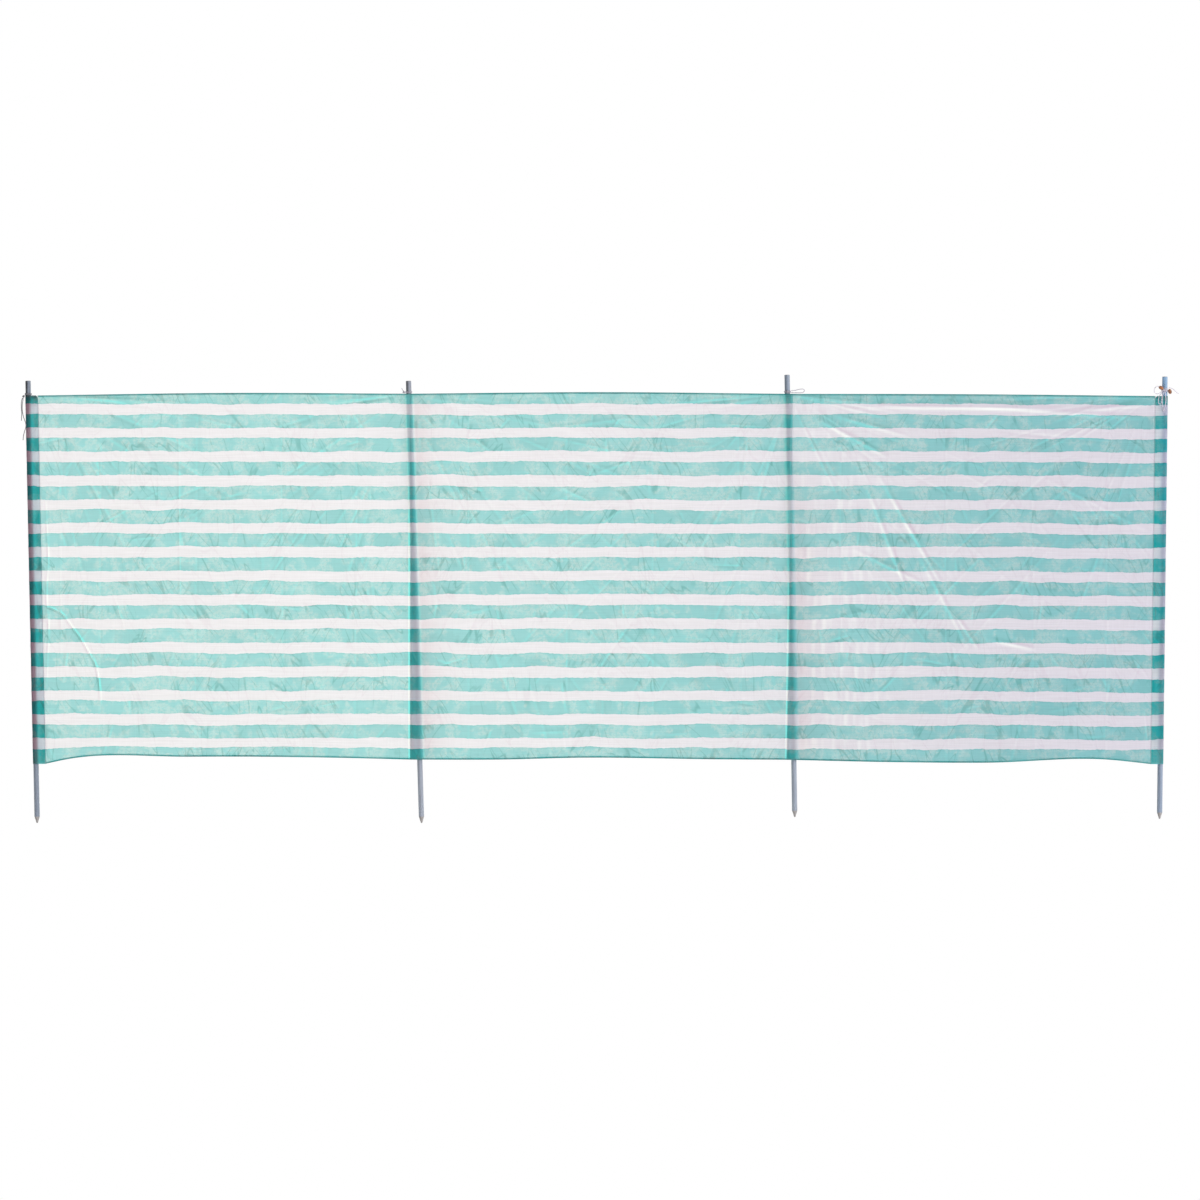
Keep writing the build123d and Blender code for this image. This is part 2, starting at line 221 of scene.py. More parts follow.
class Folds:
    """Height of the folds over a bay, and the painted light and shade of their sides: crease makes the ink paler on
    one side and deeper on the other, and streak paints sheen or shade on the white.
    """

    def __init__(self, x, z):
        self.x, self.z = x, z
        self.depth = np.zeros_like(x)
        self.crease = np.zeros_like(x)
        self.streak = np.zeros_like(x)

    def add(self, start, end, height, width, crease=0.0, streak=0.0, step=False):
        """A narrow fold along a line, painted lighter on one side and shaded on the other; a step fold turns the
        cloth one way on each side.
        """
        run = Vector(end) - Vector(start)
        along = ((self.x - start[0]) * run.x + (self.z - start[1]) * run.y) / run.length_squared
        across = ((self.x - start[0]) * run.y - (self.z - start[1]) * run.x) / run.length / width
        fade = np.sin(pi * np.clip(along, 0, 1)) ** 0.6
        near = fade * np.exp(-(across**2))
        turned = 2.3 * across * near
        self.depth += height * (0.7 * turned if step else near)
        self.crease += crease * turned
        self.streak += streak * turned

    def add_curve(self, points, height, width, crease, streak):
        for start, end in zip(points, points[1:]):
            middle = (Vector(start) + Vector(end)) / 2
            half = (Vector(end) - Vector(start)) * 1.1
            self.add(middle - half, middle + half, height, width, crease, streak)


def soft_noise(x, z, size, offset, stretch=1.0):
    flat = [noise.noise(Vector((a / size, b / size / stretch, offset))) for a, b in zip(x.ravel(), z.ravel())]
    return np.array(flat).reshape(x.shape)


# Numbers of folds: from each tie, under each end of a top edge, and crumples in a bay
FANNED_FOLDS = 26
TOP_FOLDS = 7
CRUMPLES = 95

# Where across a bay it was folded flat, and the widths and the faint height of single folds
FOLDED_AT = (0.145, 0.43, 0.66, 0.86)
FOLD_WIDTH = 0.0034
WIDER_FOLD = 0.0036
SWEEP_WIDTH = 0.0070
FAINT_FOLD = 0.0004

# How strongly painted sheen and shade mark the folds of each bay
STREAKY = (0.10, 0.35, 0.80)

# The long bent crease at the left of the first bay, and the waving one beside its seam, both with painted light and
# shade
BENT_CREASE = (
    (0.040, 0.691), (0.057, 0.685), (0.083, 0.670), (0.114, 0.629), (0.140, 0.595),
    (0.163, 0.557), (0.188, 0.513), (0.197, 0.477), (0.203, 0.440), (0.205, 0.400),
)
WAVING_CREASE = ((0.030, 0.98), (0.036, 0.86), (0.031, 0.74), (0.037, 0.62), (0.033, 0.50))

# The folds of the third bay with painted sheen: start, end and strength of the sheen
SWEEPS = (
    ((2.640, 1.338), (3.300, 1.330), 1.5),
    ((2.860, 1.352), (3.250, 1.338), 1.3),
    ((2.950, 1.342), (3.560, 1.300), 0.9),
    ((3.320, 1.322), (3.570, 1.345), 1.0),
    ((3.060, 0.590), (3.200, 0.560), 1.4),
    ((2.930, 0.690), (3.020, 0.560), 1.2),
    ((2.500, 1.300), (2.720, 1.180), 1.4),
    ((2.560, 1.310), (2.800, 1.240), 1.0),
    ((2.700, 1.120), (2.905, 0.760), 1.5),
    ((2.660, 1.090), (2.800, 0.720), 1.2),
    ((2.830, 0.860), (2.990, 0.560), 1.0),
    ((2.620, 0.880), (2.860, 0.760), 0.9),
)


def fold_cloth(settings, bay, x, z):
    """Waves, drag folds from the ties, packing creases and crumples of one bay; the folds carry painted light and
    shade on their sides.
    """
    rng = random.Random(settings.seed + bay)
    left, right = seam_x(bay, 0.8), seam_x(bay + 1, 0.8)
    width = right - left
    low, high = BOTTOM[bay], TOP[bay]
    folds = Folds(x, z)
    folds.depth += settings.ripple * 1.5 * soft_noise(x, z, 0.19, 3.1 + bay)
    folds.depth += settings.ripple * 0.5 * soft_noise(x, z, 0.065, 8.7 + bay, 1.6)
    streaky = STREAKY[bay]

    # Long straight folds that fan out from the two ties of the bay
    for side in (0, 1):
        corner = Vector((left - 0.01, high + 0.02)) if side == 0 else Vector((right + 0.01, TOP[bay + 1] + 0.02))
        way = 1 if side == 0 else -1
        for k in range(FANNED_FOLDS):
            angle = radians(6 + 72 * (k + rng.random()) / FANNED_FOLDS)
            run = Vector((way * cos(angle), -sin(angle)))
            near = rng.uniform(0.04, 0.85) * width
            length = rng.uniform(0.12, 0.42)
            bend = rng.uniform(-0.14, 0.14)
            turned = Vector((run.x - bend * run.y, run.y + bend * run.x))
            start = corner + run * near
            end = start + turned * length
            if start.y < low + 0.06:
                continue
            height = settings.drag_fold * rng.uniform(0.3, 1.0) * rng.choice((1, 1, -1))
            crease = rng.uniform(0.08, 0.35) * rng.choice((1, -1))
            strong = streaky * rng.uniform(0.8, 2.4)
            folds.add(start, end, height, rng.uniform(0.0040, 0.0065), crease, crease * strong, rng.random() < 0.6)

    # Drag lines close under the top edge
    for side in (0, 1):
        place = Vector((left, high)) if side == 0 else Vector((right, TOP[bay + 1]))
        way = 1 if side == 0 else -1
        for _ in range(TOP_FOLDS):
            angle = radians(rng.uniform(2, 15))
            run = Vector((way * cos(angle), -sin(angle)))
            start = place + run * rng.uniform(0.0, 0.12)
            end = start + run * rng.uniform(0.15, 0.42)
            crease = rng.uniform(0.08, 0.28)
            height = settings.drag_fold * rng.uniform(0.5, 1.2)
            folds.add(start, end, height, 0.005, crease, crease * (0.3 + 2 * streaky))

    # Short crumples
    for _ in range(CRUMPLES):
        centre = Vector((rng.uniform(left, right), rng.uniform(low + 0.04, high - 0.04)))
        ways = (rng.uniform(-20, 20), rng.uniform(45, 75), rng.uniform(105, 135), rng.uniform(80, 100))
        angle = radians(rng.choice(ways))
        half = Vector((cos(angle), sin(angle))) * rng.uniform(0.012, 0.060)
        height = settings.packing_fold * rng.uniform(0.4, 1.3) * rng.choice((1, -1))
        crease = rng.uniform(0.1, 0.4) * rng.choice((1, -1, -1))
        folds.add(centre - half, centre + half, height, rng.uniform(0.0038, 0.0052), crease, crease * streaky, True)

    # Long upright creases where the cloth was folded flat
    for share in FOLDED_AT:
        place = left + width * (share + rng.uniform(-0.02, 0.02))
        lean = rng.uniform(-0.012, 0.012)
        height = settings.packing_fold * rng.uniform(0.4, 0.9)
        start, end = (place + lean, low - 0.3), (place - lean, high + 0.3)
        folds.add(start, end, height, 0.0040, -0.18, 0.30 * streaky, rng.random() < 0.5)

    # The creases of the first bay, with painted light and shade on their sides
    if bay == 0:
        folds.add_curve(BENT_CREASE, settings.drag_fold, FOLD_WIDTH, -0.8, -1.1)
        folds.add((0.245, 0.74), (0.285, 0.62), settings.packing_fold, WIDER_FOLD, -0.45, -0.4)
        folds.add((0.305, 0.58), (0.310, 0.47), settings.packing_fold, WIDER_FOLD, -0.3, -0.3)
        folds.add((0.455, 1.33), (0.462, 0.62), settings.packing_fold, WIDER_FOLD, -0.4, -0.15)
        folds.add_curve(WAVING_CREASE, FAINT_FOLD, FOLD_WIDTH, -0.25, -0.8)
        folds.add((0.074, 1.02), (0.078, 0.42), FAINT_FOLD, FOLD_WIDTH, -0.15, -0.35)
    if bay == 2:
        # Painted upright sheen in the left third, and the folds with painted sheen
        upright = soft_noise(x, z, 0.017, 21.0, 9.0)
        fade = np.clip((x - left) / 0.06, 0, 1) * np.clip((left + 0.42 - x) / 0.22, 0, 1)
        fade = fade * np.clip((high - 0.12 - z) / 0.25, 0.25, 1)
        folds.streak += 1.1 * np.clip(upright, -0.1, 1) * fade
        folds.depth += 0.0007 * upright * fade
        for start, end, strong in SWEEPS:
            folds.add(start, end, settings.drag_fold, SWEEP_WIDTH, 0.5, strong)
    return folds


def print_place(x, z, bottom):
    """Where a point of the cloth lies on its print, which follows the bottom edge and drags to the right."""
    drag = np.clip((x - 2.9) / 0.7, 0, 1)
    level = z + (0.203 - bottom) * np.exp(-np.clip(z - bottom, 0, None) / 0.035)
    return np.stack([x, level + 0.0045 * drag * drag * (3 - 2 * drag)], axis=-1)


def column_shares(width, step):
    """Shares across a bay, closer together beside its two seams."""
    margin, close_step = 0.030, 0.0015
    close = np.arange(0, margin, close_step)
    middle = np.linspace(margin, width - margin, int((width - 2 * margin) / step))
    return np.concatenate([close, middle, width - close[::-1]]) / width


def cloth_grid(settings, bay):
    """Points of a bay's cloth, in rows from the bottom edge to the top, with its folds and its marks, which carry
    painted light and shade.
    """
    across = column_shares(seam_x(bay + 1, 0.8) - seam_x(bay, 0.8), settings.mesh_step)
    rows = int((TOP[bay] - BOTTOM[bay]) / settings.mesh_step)
    u, v = np.meshgrid(across, np.linspace(0, 1, rows + 1))
    (left_low, _), *_, (right_low, _) = edge_points(bay, False)
    (left_high, _), *_, (right_high, _) = edge_points(bay, True)
    x_low = left_low + (right_low - left_low) * u
    x_high = left_high + (right_high - left_high) * u
    z_low = smooth_line(edge_points(bay, False), x_low)
    z_high = smooth_line(edge_points(bay, True), x_high)
    x = x_low + (x_high - x_low) * v
    z = z_low + (z_high - z_low) * v
    folds = fold_cloth(settings, bay, x, z)
    pinned = np.clip(np.minimum(u, 1 - u) / 0.02, 0, 1)
    y = SEAM_DEPTH - 4 * belly(settings, z) * u * (1 - u) - folds.depth * pinned
    seam = np.minimum(x - (left_low + (left_high - left_low) * v), right_low + (right_high - right_low) * v - x)
    layers, shade = np.zeros_like(x), np.zeros_like(x)
    # Painted shade beside the end seams; at an inner pole, the painted tint and light over its pocket, the painted
    # shade beside it and the painted bright line of the seam
    for pole in (bay, bay + 1):
        if pole in (POLES[0], POLES[-1]):
            shade = np.maximum(shade, 0.12 * np.exp(-abs(x - seam_x(pole, z)) / 0.004))
        else:
            behind, beside, painted_seam_light = beside_inner_pole(pole, x, z)
            layers = np.maximum(layers, behind)
            shade = np.maximum(shade, beside)
            folds.crease = folds.crease * (1 - painted_seam_light) + 1.4 * painted_seam_light + 0.25 * behind
            folds.streak = folds.streak * (1 - painted_seam_light) + 1.4 * painted_seam_light + 0.60 * behind
    # Painted shade along the top and bottom rows, where the cloth turns over into the hem
    for edge in (0, -1):
        layers[edge] = 1
        folds.crease[edge] = -1
    marks = {
        "crease": folds.crease,
        "streak": folds.streak,
        "seam": seam,
        "hem": np.minimum(z_high - z, z - z_low),
        "layers": layers,
        "shade": shade,
    }
    return np.stack([x, y, z], axis=-1), print_place(x, z, z_low), marks


def grid_mesh(name, grid, print_at, marks, flip=False):
    """A sheet from a grid of points, with its place on the print and its marks."""
    rows, columns = grid.shape[:2]
    faces = []
    for r in range(rows - 1):
        for c in range(columns - 1):
            a = r * columns + c
            face = (a, a + 1, a + columns + 1, a + columns)
            faces.append(face[::-1] if flip else face)
    mesh = bpy.data.meshes.new(name)
    mesh.from_pydata([tuple(p) for p in grid.reshape(-1, 3)], [], faces)
    corners = np.empty(len(mesh.loops), dtype=np.int32)
    mesh.loops.foreach_get("vertex_index", corners)
    layer = mesh.uv_layers.new(name="print")
    layer.data.foreach_set("uv", print_at.reshape(-1, 2)[corners].astype(np.float32).ravel())
    for label, values in marks.items():
        mark = mesh.attributes.new(label, "FLOAT", "POINT")
        mark.data.foreach_set("value", values.astype(np.float32).ravel())
    mesh.polygons.foreach_set("use_smooth", [True] * len(mesh.polygons))
    mesh.update()
    piece = bpy.data.objects.new(name, mesh)
    bpy.context.scene.collection.objects.link(piece)
    return piece


def deselect():
    bpy.ops.object.select_all(action="DESELECT")


def pick(piece):
    deselect()
    piece.select_set(True)
    bpy.context.view_layer.objects.active = piece


def finish_piece(piece, material, slot, *nodes):
    """Gives a piece its finish and joins it to the frame in place of the nodes it stands for."""
    piece.data.materials.clear()
    piece.data.materials.append(material)
    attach(piece, "root")
    if nodes:
        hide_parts(*nodes)
    return piece


# Materials


def node(tree, kind, settings=None, inputs=None):
    """Adds a node; each input is a plain value or the output of another node."""
    made = tree.nodes.new(kind)
    for key, value in (settings or {}).items():
        setattr(made, key, value)
    for key, value in (inputs or {}).items():
        if isinstance(value, bpy.types.NodeSocket):
            tree.links.new(value, made.inputs[key])
        else:
            made.inputs[key].default_value = value
    return made


def voronoi(tree, feature, place, scale, output):
    inputs = {"Vector": place, "Scale": scale}
    return node(tree, "ShaderNodeTexVoronoi", {"feature": feature}, inputs).outputs[output]


def sums(tree, operation, *values, clamp=False):
    settings = {"operation": operation, "use_clamp": clamp}
    return node(tree, "ShaderNodeMath", settings, dict(enumerate(values))).outputs[0]


def spread(tree, value, low, high, to_low=0.0, to_high=1.0, smooth=True):
    """Takes the range from low to high to another range, with soft ends."""
    settings = {"interpolation_type": "SMOOTHSTEP" if smooth else "LINEAR"}
    inputs = {"Value": value, "From Min": low, "From Max": high, "To Min": to_low, "To Max": to_high}
    return node(tree, "ShaderNodeMapRange", settings, inputs).outputs["Result"]


def blend_colour(tree, factor, first, second, kind="MIX"):
    settings = {"data_type": "RGBA", "blend_type": kind}
    return node(tree, "ShaderNodeMix", settings, {0: factor, 6: first, 7: second}).outputs[2]


def scaled(tree, place, scale, move=(0.0, 0.0, 0.0), turn=(0.0, 0.0, 0.0)):
    inputs = {"Vector": place, "Scale": scale, "Location": move, "Rotation": turn}
    return node(tree, "ShaderNodeMapping", None, inputs).outputs[0]


def grain(tree, place, scale, detail=2.0, rough=0.5, twist=0.0):
    inputs = {"Vector": place, "Scale": scale, "Detail": detail, "Roughness": rough, "Distortion": twist}
    return node(tree, "ShaderNodeTexNoise", None, inputs).outputs[0]


def wandering(tree, place, scale, detail, rough, reach):
    """The place moved about by a coloured noise, so that cells get ragged outlines."""
    inputs = {"Vector": place, "Scale": scale, "Detail": detail, "Roughness": rough}
    noisy = node(tree, "ShaderNodeTexNoise", None, inputs).outputs[1]
    settings = {"operation": "MULTIPLY_ADD"}
    return node(tree, "ShaderNodeVectorMath", settings, {0: noisy, 1: reach, 2: place}).outputs[0]


def bump(tree, strength, distance, height, normal=None, invert=False):
    """Raises the surface where the height is large, over another bump where one is given."""
    inputs = {"Strength": strength, "Distance": distance, "Height": height}
    if normal is not None:
        inputs["Normal"] = normal
    return node(tree, "ShaderNodeBump", {"invert": invert}, inputs).outputs[0]


def new_group(name, inputs, outputs):
    tree = bpy.data.node_groups.new(name, "ShaderNodeTree")
    for label, kind, value in inputs:
        socket = tree.interface.new_socket(name=label, in_out="INPUT", socket_type=kind)
        if value is not None:
            socket.default_value = value
    for label, kind in outputs:
        tree.interface.new_socket(name=label, in_out="OUTPUT", socket_type=kind)
    return tree, tree.nodes.new("NodeGroupInput"), tree.nodes.new("NodeGroupOutput")


def use_group(tree, name, inputs):
    return node(tree, "ShaderNodeGroup", {"node_tree": bpy.data.node_groups[name]}, inputs)


def make_stripe_group():
    """Hand-painted level stripes: Ink is 1 in a coloured stripe, Rim is its darker edge, and
    Wash and Block are the pale clouds and the change of tone from stroke to stroke."""
    number = "NodeSocketFloat"
    tree, given, result = new_group(
        "Painted Stripes",
        [
            ("Place", "NodeSocketVector", None),
            ("Pitch", number, 0.07655),
            ("Band", number, 0.043),
            ("First", number, 1.3662),
        ],
        [("Ink", number), ("Rim", number), ("Wash", number), ("Block", number)],
    )
    parts = node(tree, "ShaderNodeSeparateXYZ", None, {0: given.outputs["Place"]})
    along, height = parts.outputs[0], parts.outputs[1]
    row = sums(tree, "DIVIDE", sums(tree, "SUBTRACT", given.outputs["First"], height), given.outputs["Pitch"])
    row = sums(tree, "ROUND", row)
    chance = node(tree, "ShaderNodeTexWhiteNoise", {"noise_dimensions": "1D"}, {"W": row}).outputs[0]
    middle = sums(tree, "SUBTRACT", given.outputs["First"], sums(tree, "MULTIPLY", row, given.outputs["Pitch"]))
    middle = sums(tree, "ADD", middle, spread(tree, chance, 0.0, 1.0, -0.0015, 0.0015, smooth=False))
    off = sums(tree, "SUBTRACT", height, middle)
    side = sums(tree, "SIGN", off)

    def edge_noise(step, detail, apart, one_sided):
        """Noise along a stripe, near the same in the next row where apart is small."""
        lane = sums(tree, "MULTIPLY_ADD", row, apart, sums(tree, "MULTIPLY", side, 2.17) if one_sided else 0.0)
        place = node(tree, "ShaderNodeCombineXYZ", None, {0: along, 1: lane}).outputs[0]
        wave = grain(tree, scaled(tree, place, (1.0 / step, 1.0, 1.0)), 1.0, detail, 0.55)
        return sums(tree, "SUBTRACT", wave, 0.5)

    off = sums(tree, "MULTIPLY_ADD", edge_noise(0.170, 1.0, 0.30, False), 0.016, off)
    edge = sums(tree, "MULTIPLY", given.outputs["Band"], 0.5)
    edge = sums(tree, "MULTIPLY_ADD", edge_noise(0.055, 1.0, 7.31, True), 0.0062, edge)
    edge = sums(tree, "MULTIPLY_ADD", edge_noise(0.013, 3.0, 7.31, True), 0.0056, edge)
    inside = sums(tree, "SUBTRACT", edge, sums(tree, "ABSOLUTE", off))
    tree.links.new(spread(tree, inside, -0.0010, 0.0010), result.inputs["Ink"])
    tree.links.new(spread(tree, inside, 0.0008, 0.0050, 1.0, 0.0), result.inputs["Rim"])

    lane = sums(tree, "MULTIPLY_ADD", row, 3.7, sums(tree, "MULTIPLY", off, 10.5))
    flat = node(tree, "ShaderNodeCombineXYZ", None, {0: sums(tree, "MULTIPLY", along, 10.5), 1: lane}).outputs[0]
    moved = wandering(tree, flat, scale=6.0, detail=3.0, rough=0.65, reach=(0.42, 0.42, 0.0))
    border = voronoi(tree, "DISTANCE_TO_EDGE", moved, 1.0, "Distance")
    block = voronoi(tree, "F1", moved, 1.0, "Color")
    tree.links.new(node(tree, "ShaderNodeSeparateXYZ", None, {0: block}).outputs[0], result.inputs["Block"])
    vein = voronoi(tree, "DISTANCE_TO_EDGE", moved, 4.5, "Distance")
    along_border = spread(tree, border, 0.06, 0.19, 1.0, 0.0)
    zone = sums(tree, "MULTIPLY", along_border, spread(tree, grain(tree, flat, 0.8, 2.0), 0.38, 0.54))
    cloud = spread(tree, grain(tree, flat, 1.7, 2.5, 0.55, 0.3), 0.53, 0.62, 0.0, 0.75)
    speck = spread(tree, grain(tree, flat, 8.0, 4.0, 0.62), 0.36, 0.64, 0.25, 1.0)
    veined = sums(tree, "MAXIMUM", sums(tree, "MULTIPLY", speck, 0.75), spread(tree, vein, 0.01, 0.08, 0.9, 0.0))
    pale = sums(tree, "MAXIMUM", sums(tree, "MULTIPLY", zone, veined), sums(tree, "MULTIPLY", cloud, speck))
    tree.links.new(pale, result.inputs["Wash"])


def make_weave_group():
    """Plain weave of fine yarn: Tone is its uneven thickness, Height stands up at each yarn."""
    number = "NodeSocketFloat"
    tree, given, result = new_group(
        "Plain Weave",
        [("Place", "NodeSocketVector", None), ("Yarn", number, 0.00045)],
        [("Tone", number), ("Height", number)],
    )
    place = given.outputs["Place"]
    parts = node(tree, "ShaderNodeSeparateXYZ", None, {0: place})
    turns = sums(tree, "DIVIDE", 2 * pi, given.outputs["Yarn"])
    warp = sums(tree, "SINE", sums(tree, "MULTIPLY", parts.outputs[0], turns))
    weft = sums(tree, "SINE", sums(tree, "MULTIPLY", parts.outputs[2], turns))
    tree.links.new(sums(tree, "MULTIPLY", warp, weft), result.inputs["Height"])
    level = grain(tree, scaled(tree, place, (9.0, 9.0, 420.0)), 1.0, 3.0, 0.6)
    upright = grain(tree, scaled(tree, place, (420.0, 420.0, 9.0)), 1.0, 3.0, 0.6)
    both = sums(tree, "MULTIPLY_ADD", level, 0.7, sums(tree, "MULTIPLY", upright, 0.3))
    tree.links.new(spread(tree, both, 0.3, 0.7, 0.0, 1.0, smooth=False), result.inputs["Tone"])


def make_crumple_group():
    """Fine creases of thin crisp cloth, as a height, and the thin lines that the sharpest draw, which the printed
    cloth also darkens as painted shade.
    """
    number = "NodeSocketFloat"
    tree, given, result = new_group(
        "Crisp Creases",
        [("Place", "NodeSocketVector", None), ("Size", number, 11.0)],
        [("Height", number), ("Line", number)],
    )
    place = given.outputs["Place"]
    moved = wandering(tree, place, scale=5.0, detail=2.0, rough=0.5, reach=(0.10, 0.10, 0.10))
    cells = voronoi(tree, "DISTANCE_TO_EDGE", moved, given.outputs["Size"], "Distance")
    crease = spread(tree, cells, 0.0, 0.09, 1.0, 0.0)
    patch = spread(tree, grain(tree, place, 4.0, 2.0), 0.42, 0.62)
    soft = grain(tree, place, 26.0, 3.0, 0.55)

    lines, line_length = 0.0, 0.22
    for angle, apart, move in ((24, 0.030, 0.0), (38, 0.040, 3.1), (-30, 0.034, 5.7), (4, 0.050, 8.3)):
        laid = scaled(tree, place, (1.0, 1.0, 1.0), (move, 0.0, move), (0.0, radians(angle), 0.0))
        wave = grain(tree, scaled(tree, laid, (1 / apart, 0.0, 1 / line_length)), 1.0, 1.0, 0.4)
        ridge = spread(tree, sums(tree, "ABSOLUTE", sums(tree, "SUBTRACT", wave, 0.5)), 0.0, 0.020, 1.0, 0.0)
        where = spread(tree, grain(tree, laid, 7.0, 2.0, 0.5), 0.52, 0.62)
        lines = sums(tree, "MAXIMUM", lines, sums(tree, "MULTIPLY", ridge, where))
    tree.links.new(lines, result.inputs["Line"])
    sharp = sums(tree, "MAXIMUM", sums(tree, "MULTIPLY", crease, patch), lines)
    tree.links.new(sums(tree, "MULTIPLY_ADD", sharp, 0.6, sums(tree, "MULTIPLY", soft, 0.5)), result.inputs["Height"])


def make_stitch_group():
    """A row of stitches a set way in from a seam or edge: Mask is the thread."""
    number = "NodeSocketFloat"
    tree, given, result = new_group(
        "Stitch Row",
        [("From Edge", number, 1.0), ("Along", number, 0.0), ("Inset", number, 0.003), ("Stitch", number, 0.0032)],
        [("Mask", number), ("Pucker", number)],
    )
    off = sums(tree, "ABSOLUTE", sums(tree, "SUBTRACT", given.outputs["From Edge"], given.outputs["Inset"]))
    line = spread(tree, off, 0.00025, 0.0005, 1.0, 0.0)
    turns = sums(tree, "MULTIPLY", given.outputs["Along"], 2 * pi)
    beat = sums(tree, "SINE", sums(tree, "DIVIDE", turns, given.outputs["Stitch"]))
    tree.links.new(sums(tree, "MULTIPLY", line, spread(tree, beat, -0.75, -0.35)), result.inputs["Mask"])
    near = spread(tree, off, 0.0, 0.004, 1.0, 0.0)
    tree.links.new(sums(tree, "MULTIPLY", near, spread(tree, beat, -1.0, 1.0, 0.6, 1.0)), result.inputs["Pucker"])


def grey(tree, value):
    return node(tree, "ShaderNodeCombineColor", None, {0: value, 1: value, 2: value}).outputs[0]


# Colours that the ink and the ground between the stripes turn to. The washed ink and the thread are the cloth's own;
# the colours that make folds, seams and pockets paler, glossier, duller or deeper are painted light and shade,
# shade is painted shade over and beside the poles, and the colours through layers are the deeper light
# through doubled cloth, which on the bays is a painted tint where a pocket lies behind.
PRINT_COLOURS = {
    "white": (1.0, 1.0, 1.0, 1.0),
    "washed ink": (0.45, 0.50, 0.47, 1.0),
    "lit ink": (0.20, 0.85, 0.85, 1.0),
    "lit ground": (0.92, 0.92, 0.93, 1.0),
    "shaded ground": (0.55, 0.47, 0.60, 1.0),
    "thread": (0.50, 0.62, 0.66, 1.0),
    "shade": (0.68, 0.34, 0.38, 1.0),
    "washed ink against light": (0.88, 0.93, 0.95, 1.0),
    "ink through layers": (0.06, 0.84, 0.86, 1.0),
    "lit ink against light": (0.30, 1.0, 1.0, 1.0),
    "crease-shaded ink": (0.22, 0.36, 0.36, 1.0),
    "ground through layers": (0.92, 0.97, 1.0, 1.0),
    "crease-shaded ground": (0.76, 0.62, 0.70, 1.0),
    "thread against light": (0.35, 0.45, 0.48, 1.0),
}


